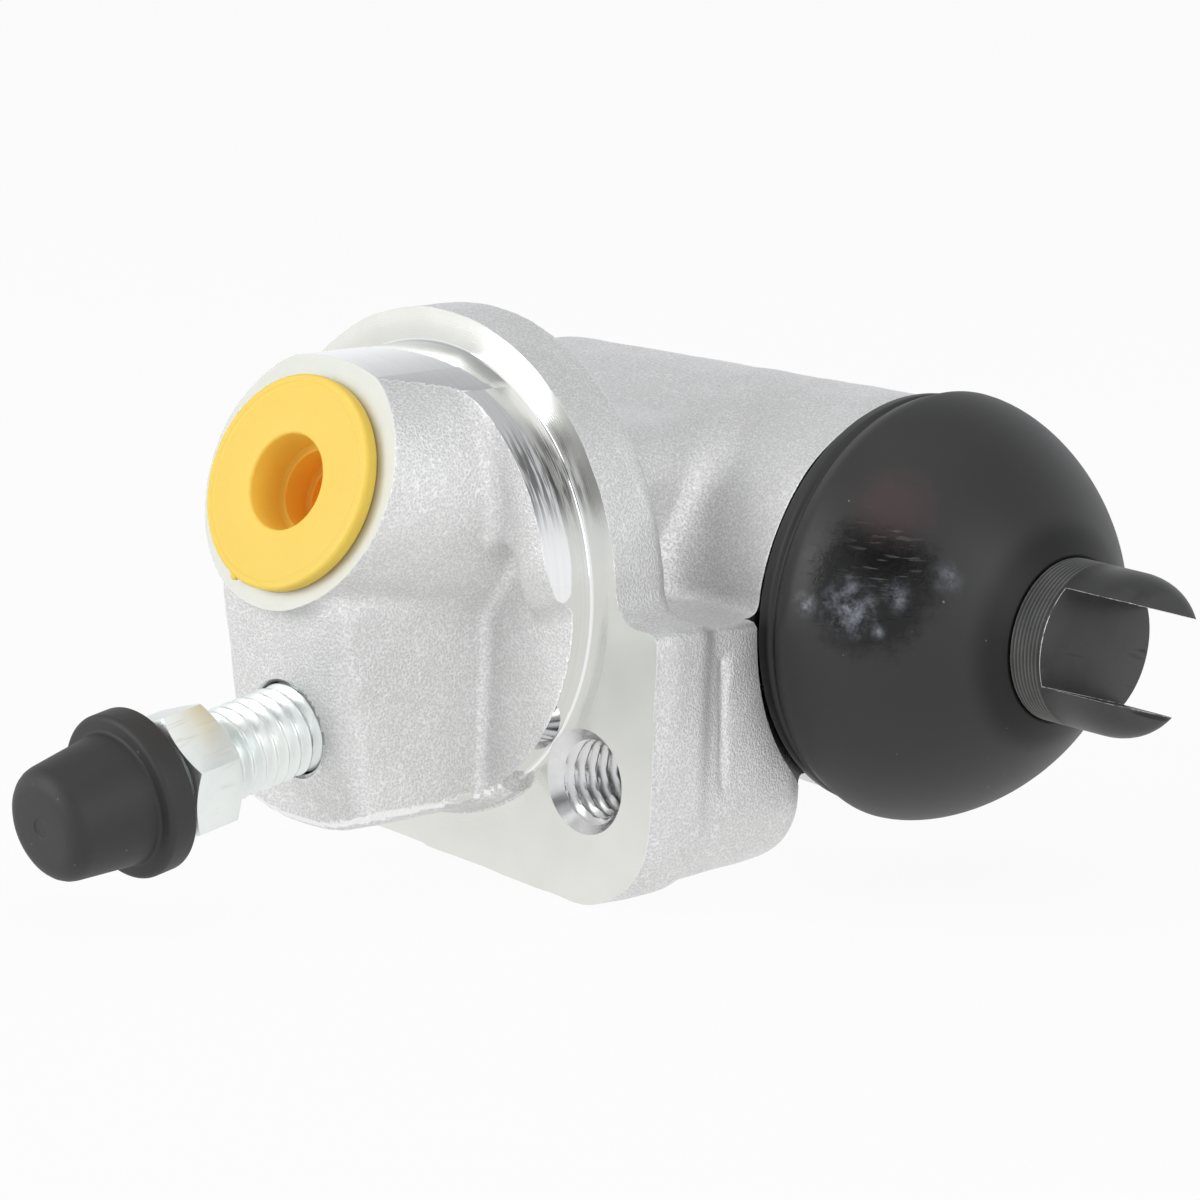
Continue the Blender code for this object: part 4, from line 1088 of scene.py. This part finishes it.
def cap_rubber():
    rubber = Finish("cap_rubber")
    cloud = rubber.noise(160.0, 3.0, 0.6)
    pits = rubber.noise(1400.0, 2.0, 0.6)
    dust = rubber.noise(1500.0, 1.0).fade(0.79, 0.83)
    colour = rubber.mix(cloud, grey(0.019), grey(0.031))
    colour = rubber.mix(dust * 0.7, colour, grey(0.16))
    bump = rubber.relief(pits, 0.03, 0.4)
    return rubber.give(Base_Color=colour, Roughness=0.50 + cloud * 0.12, Normal=bump)


ZINC = zinc_plate()
CAP = cap_rubber()

# %% Bleed screw
THREAD_OUT = 8.7
THREAD_IN = 9.0
HEX_START = 9.1
HEX_END = 14.0
HEX_FLAT = 5.0
HEX_TURN = radians(-12.0)
NIPPLE_START = HEX_END + 1.7
NIPPLE_END = NIPPLE_START + 7.0
COLLAR_RADIUS = 4.15
CHAMFER_RADII = (4.9, 5.9)


def hexagon():
    corner = HEX_FLAT / cos(pi / 6.0)
    prism = lathe("hexagon", [(HEX_START, 0.0), (HEX_START, corner), (HEX_END, corner), (HEX_END, 0.0)],
                  along(BLEED, BLEED_AXIS, HEX_TURN), 6)
    low, high = CHAMFER_RADII
    cone = [(HEX_START, 0.0), (HEX_START, low), (HEX_START + 0.55, high), (HEX_END - 0.55, high),
            (HEX_END, low), (HEX_END, 0.0)]
    return boolean(prism, lathe("chamfer", cone, ON_BLEED, 96), "INTERSECT")


def bleed_screw_piece():
    length = THREAD_IN + THREAD_OUT
    middle = BLEED + BLEED_AXIS * ((THREAD_OUT - THREAD_IN) / 2.0)
    screw = from_tree("bleeder", THREAD, along(middle, BLEED_AXIS) @ UPRIGHT_TO_X, Crest_Radius=3.95 * MM,
                      Depth=0.62 * MM, Pitch=COARSE_PITCH * MM, Length=length * MM, Run_In=0.4 * MM,
                      Run_Out=0.9 * MM, Segments=80, Rings=150)
    start, end = THREAD_OUT - 0.4, HEX_START + 0.4
    collar = rounded([(start, 0.0, 0.0), (start, COLLAR_RADIUS, 0.2), (end, COLLAR_RADIUS, 0.0),
                      (end, 0.0, 0.0)])
    boolean(screw, lathe("collar", collar, ON_BLEED, 96), "UNION")
    boolean(screw, hexagon(), "UNION")
    nipple = rounded([(HEX_END - 1.0, 0.0, 0.0), (HEX_END - 1.0, 2.4, 0.0), (NIPPLE_START, 2.4, 0.0),
                      (NIPPLE_START + 0.7, 3.1, 0.2), (NIPPLE_START + 2.6, 3.1, 0.3), (NIPPLE_END, 2.3, 0.3),
                      (NIPPLE_END, 1.0, 0.0), (HEX_END + 1.0, 1.0, 0.0), (HEX_END + 1.0, 0.0, 0.0)])
    boolean(screw, lathe("nipple", nipple, ON_BLEED, 64), "UNION")
    tip = [(-THREAD_IN + 0.2, 0.0), (-THREAD_IN + 0.2, 3.2), (-THREAD_IN - 2.6, 0.9), (-THREAD_IN - 2.6, 0.0)]
    boolean(screw, lathe("seat_cone", tip, ON_BLEED, 64), "UNION")
    coat(screw, ZINC)
    break_edges(screw, 24.0, 0.06)
    crisp(screw.data, radians(40.0))
    return screw


bleeder = bleed_screw_piece()
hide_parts("bleed_screw")
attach(bleeder, "bleed_group")
count(bleeder)

# %% Bleed cap
CAP_START = NIPPLE_START - 0.2


def cap_piece():
    s = CAP_START
    profile = rounded([(s, 3.4, 0.2), (s, 7.0, 0.35), (s + 2.6, 7.0, 0.55), (s + 2.75, 5.62, 0.35),
                       (s + 10.5, 4.75, 1.9), (s + 10.5, 0.9, 0.12), (s + 10.42, 0.75, 0.05),
                       (s + 10.42, 0.0, 0.0), (NIPPLE_END + 0.3, 0.0, 0.0), (NIPPLE_END + 0.3, 3.4, 0.0)])
    cap = lathe("cap", profile, ON_BLEED)
    coat(cap, CAP)
    return cap


cap = cap_piece()
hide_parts("bleed_cap")
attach(cap, "cap_group")
count(cap)

# %% [markdown]
# ## The transit plug
# A soft yellow plug keeps dirt out of the inlet until the pipe is fitted. Light goes a little way into
# the plastic, and deeper in its stepped hole its colour is painted a stronger orange, a painted glow. A small
# flash nub is left on its rim by the mould.

# %% Plug
def plug_plastic():
    plastic = Finish("plug_plastic", Subsurface_Weight=0.25, Subsurface_Scale=0.004)
    plastic.shader.inputs["Subsurface Radius"].default_value = (1.0, 0.45, 0.08)
    cloud = plastic.noise(120.0, 2.0)
    fine = plastic.noise(1300.0, 2.0)
    reach, depth = plastic_depth(plastic)
    colour = plastic.mix(cloud, (1.0, 0.635, 0.085, 1.0), (1.0, 0.675, 0.12, 1.0))
    # Painted glow: deeper in the hole the colour turns a stronger orange, for light that passes through the
    # plastic.
    colour = plastic.mix((0.0 - depth).fade(0.0003, 0.006) * 0.7, colour, (1.0, 0.47, 0.06, 1.0))
    line = (reach - 0.0083).math("ABSOLUTE").fade(0.00022, 0.00005)
    bump = plastic.relief(fine, 0.012, 0.3)
    bump = plastic.relief(line, 0.05, 0.5, bump)
    return plastic.give(Base_Color=colour, Roughness=0.42 + cloud * 0.1, Normal=bump)


def plastic_depth(finish):
    """Distance from the inlet's axis, and how far out along it a point is."""
    offset = finish.vector("SUBTRACT", "Vector", finish.place, INLET * MM)
    depth = finish.number(finish.vector("DOT_PRODUCT", "Value", offset, INLET_AXIS))
    length = finish.number(finish.vector("LENGTH", "Value", offset))
    return (length * length - depth * depth).math("MAXIMUM", 0.0).math("SQRT"), depth


PLASTIC = plug_plastic()
PLUG_RADIUS = 9.1
PLUG_TOP = 1.3
NUB_ANGLE = radians(201.0)
NUB_RADIUS = 9.0


def plug_piece():
    top = PLUG_TOP
    profile = rounded([(0.05, 5.2, 0.0), (0.05, PLUG_RADIUS, 0.2), (top, PLUG_RADIUS, 0.3), (top, 4.05, 0.25),
                       (top - 3.5, 4.0, 0.1), (top - 3.5, 3.4, 0.15), (top - 6.0, 3.35, 0.1),
                       (top - 6.0, 2.7, 0.15), (-7.8, 2.65, 0.2), (-7.8, 0.0, 0.0), (-9.0, 0.0, 0.0),
                       (-9.0, 4.4, 0.2), (-8.2, 5.2, 0.3)])
    plug = lathe("plug", profile, ON_INLET)
    nub_place = ON_INLET @ Matrix.Translation((0.8, NUB_RADIUS * sin(NUB_ANGLE), NUB_RADIUS * cos(NUB_ANGLE)))
    nub = lathe("nub", rounded([(-0.3, 0.0, 0.0), (-0.3, 0.5, 0.2), (0.25, 0.5, 0.2), (0.25, 0.0, 0.0)]),
                nub_place, 24)
    boolean(plug, nub, "UNION")
    coat(plug, PLASTIC)
    crisp(plug.data)
    return plug


plug = plug_piece()
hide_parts("inlet_plug")
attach(plug, "plug_group")
count(plug)

# %% [markdown]
# ## Inside the bore
# The piston, its cup and the sheet expander are turned solids that the CAD already shapes well, so they
# keep their CAD meshes and get finishes. The return spring follows a helix, which Geometry Nodes sweep.

# %% Inner finishes
def anodised():
    metal = Finish("hard_anodised", Metallic=0.9)
    lines = metal.brushed(4200.0, 40.0, 40.0)
    colour = metal.mix(lines, grey(0.42, 0.02), grey(0.56, 0.02))
    bump = metal.relief(lines, 0.006, 0.4)
    return metal.give(Base_Color=colour, Roughness=0.26 + lines * 0.14, Normal=bump)


def cup_rubber():
    rubber = Finish("cup_rubber")
    cloud = rubber.noise(300.0, 3.0)
    return rubber.give(Base_Color=rubber.mix(cloud, grey(0.012), grey(0.02)), Roughness=0.36 + cloud * 0.1,
                       Normal=rubber.relief(cloud, 0.02, 0.3))


def passivated(name, dark, pale):
    metal = Finish(name, Metallic=1.0)
    cloud = metal.noise(400.0, 3.0)
    return metal.give(Base_Color=metal.mix(cloud, dark, pale), Roughness=0.28 + cloud * 0.14,
                      Normal=metal.relief(cloud, 0.01, 0.3))


INNER = {"piston": anodised(), "piston_cup": cup_rubber(),
         "cup_expander": passivated("passivated_sheet", (0.58, 0.52, 0.36, 1.0), (0.72, 0.68, 0.52, 1.0))}
for node, material in INNER.items():
    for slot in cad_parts[node].material_slots:
        slot.material = material
WIRE = passivated("spring_wire", grey(0.26), grey(0.40))

# %% Return spring
def spring_tree():
    graph, given = new_tree("coil_spring", (("Coil Radius", 0.0074), ("Wire Radius", 0.0006), ("Turns", 5.5),
                                            ("Length", 0.015)))
    path = graph.node("GeometryNodeCurveSpiral", None, Resolution=40, Rotations=given["Turns"],
                      Start_Radius=given["Coil Radius"], End_Radius=given["Coil Radius"],
                      Height=given["Length"])
    wire = graph.node("GeometryNodeCurvePrimitiveCircle", None, Resolution=12, Radius=given["Wire Radius"])
    swept = graph.node("GeometryNodeCurveToMesh", None, Curve=path.outputs[0],
                       Profile_Curve=wire.outputs[0], Fill_Caps=True)
    return close_tree(graph, swept.outputs[0], given["Material"])


SPRING_LOW = -15.1
SPRING_HIGH = 3.4
COIL_RADIUS = 7.4
WIRE_RADIUS = 0.6
spring_place = ON_BORE @ Matrix.Translation((SPRING_LOW, 0.0, 0.0)) @ UPRIGHT_TO_X
spring = from_tree("spring", spring_tree(), spring_place, Coil_Radius=COIL_RADIUS * MM,
                   Wire_Radius=WIRE_RADIUS * MM, Turns=5.5, Length=(SPRING_HIGH - SPRING_LOW) * MM,
                   Material=WIRE)
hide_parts("return_spring")
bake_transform(spring)
count(spring)

# %% [markdown]
# ## Floor and light
# The photograph shows the part on white with hardly any shadow. The floor is white to the camera and to
# reflections, with a little of its real shading mixed in, so that a faint shadow stays.
# Three broad lamps and a plain world give soft light from above, and three dark cards that the camera
# doesn't see give the turned metal something dark to reflect, as in any product photograph.

# %% World
def plain_world():
    world = bpy.data.worlds.new("studio")
    world.use_nodes = True
    graph = Graph(world.node_tree)
    path = graph.node("ShaderNodeLightPath").outputs
    seen = graph.number(path["Is Camera Ray"])
    mirrored = graph.number(path["Is Glossy Ray"]).math("MAXIMUM", path["Is Transmission Ray"])
    direction = graph.node("ShaderNodeTexCoord").outputs["Generated"]
    height = graph.number(graph.node("ShaderNodeSeparateXYZ", None, _0=direction).outputs[2])
    tent = 1.0 - height.fade(0.10, 0.95) * 0.5
    light = graph.node("ShaderNodeBackground", None, Color=(0.97, 0.98, 1.0, 1.0),
                       Strength=tent * (0.68 + mirrored * 0.32))
    white = graph.node("ShaderNodeBackground", None, Color=(1.0, 1.0, 1.0, 1.0), Strength=1.0)
    mixed = graph.node("ShaderNodeMixShader", None, _0=seen, _1=light.outputs[0], _2=white.outputs[0])
    graph.node("ShaderNodeOutputWorld", None, _0=mixed.outputs[0])
    bpy.context.scene.world = world


plain_world()

# %% Floor
FLOOR_REACH = 3000.0
SQUARE = ((-1, -1), (1, -1), (1, 1), (-1, 1))


def floor_material():
    material = bpy.data.materials.new("white_floor")
    material.use_nodes = True
    graph = Graph(material.node_tree)
    path = graph.node("ShaderNodeLightPath").outputs
    seen = graph.number(path["Is Camera Ray"]).math("MAXIMUM", path["Is Glossy Ray"])
    seen = seen.math("MAXIMUM", path["Is Transmission Ray"])
    cloth = graph.node("ShaderNodeBsdfDiffuse", None, Color=(0.86, 0.86, 0.86, 1.0))
    white = graph.node("ShaderNodeEmission", None, Color=(1.0, 1.0, 1.0, 1.0), Strength=1.0)
    mixed = graph.node("ShaderNodeMixShader", None, _0=seen * 0.93, _1=cloth.outputs[0], _2=white.outputs[0])
    graph.node("ShaderNodeOutputMaterial", None, _0=mixed.outputs[0])
    return material


def floor_piece():
    low = cad_box[0][2] / MM
    corners = [(x * FLOOR_REACH, y * FLOOR_REACH, low) for x, y in SQUARE]
    plane = shape("floor", corners, [[0, 1, 2, 3]])
    coat(plane, floor_material())


floor_piece()

# %% Lamps and cards
MIDDLE = (0.01, 0.01, -0.002)
CARD_DISTANCE = 550.0
CARD_AHEAD = 0.68
CARD_ASIDE = 0.733


def lamp(name, place, width, height, power):
    """A softbox that faces the part."""
    light = bpy.data.lights.new(name, "AREA")
    light.shape = "RECTANGLE"
    light.size = width
    light.size_y = height
    light.energy = power
    made = bpy.data.objects.new(name, light)
    made.location = place
    made.rotation_euler = (Vector(MIDDLE) - Vector(place)).to_track_quat("-Z", "Y").to_euler()
    bpy.context.scene.collection.objects.link(made)


lamp("top_softbox", (0.05, -0.05, 0.55), 0.5, 0.5, 0.55)
lamp("left_softbox", (-0.25, -0.55, 0.22), 0.35, 0.5, 1.8)
lamp("right_softbox", (0.55, -0.02, 0.25), 0.25, 0.45, 0.8)


def card(name, bearing, width, height, tone):
    """A dark card that only reflections see, where the pilot's corner mirrors the photographer."""
    spin = radians(bearing)
    away = Vector((CARD_ASIDE * cos(spin), -CARD_AHEAD, CARD_ASIDE * sin(spin)))
    across = Vector((-sin(spin), 0.0, cos(spin)))
    up = away.cross(across)
    centre = away * CARD_DISTANCE
    corners = [centre + across * (a * width / 2.0) + up * (b * height / 2.0) for a, b in SQUARE]
    plane = shape(name, corners, [[0, 1, 2, 3]])
    dark = bpy.data.materials.new(name)
    dark.use_nodes = True
    dark.node_tree.nodes["Principled BSDF"].inputs["Base Color"].default_value = tone
    coat(plane, dark)
    plane.visible_camera = plane.visible_diffuse = plane.visible_shadow = False


card("card_wide", 47.0, 190.0, 200.0, grey(0.02))
card("card_slim", 79.0, 50.0, 200.0, grey(0.03))
card("card_low", -9.0, 60.0, 120.0, (0.25, 0.15, 0.07, 1.0))

# %% Finish
bpy.context.scene.view_settings.view_transform = "Standard"
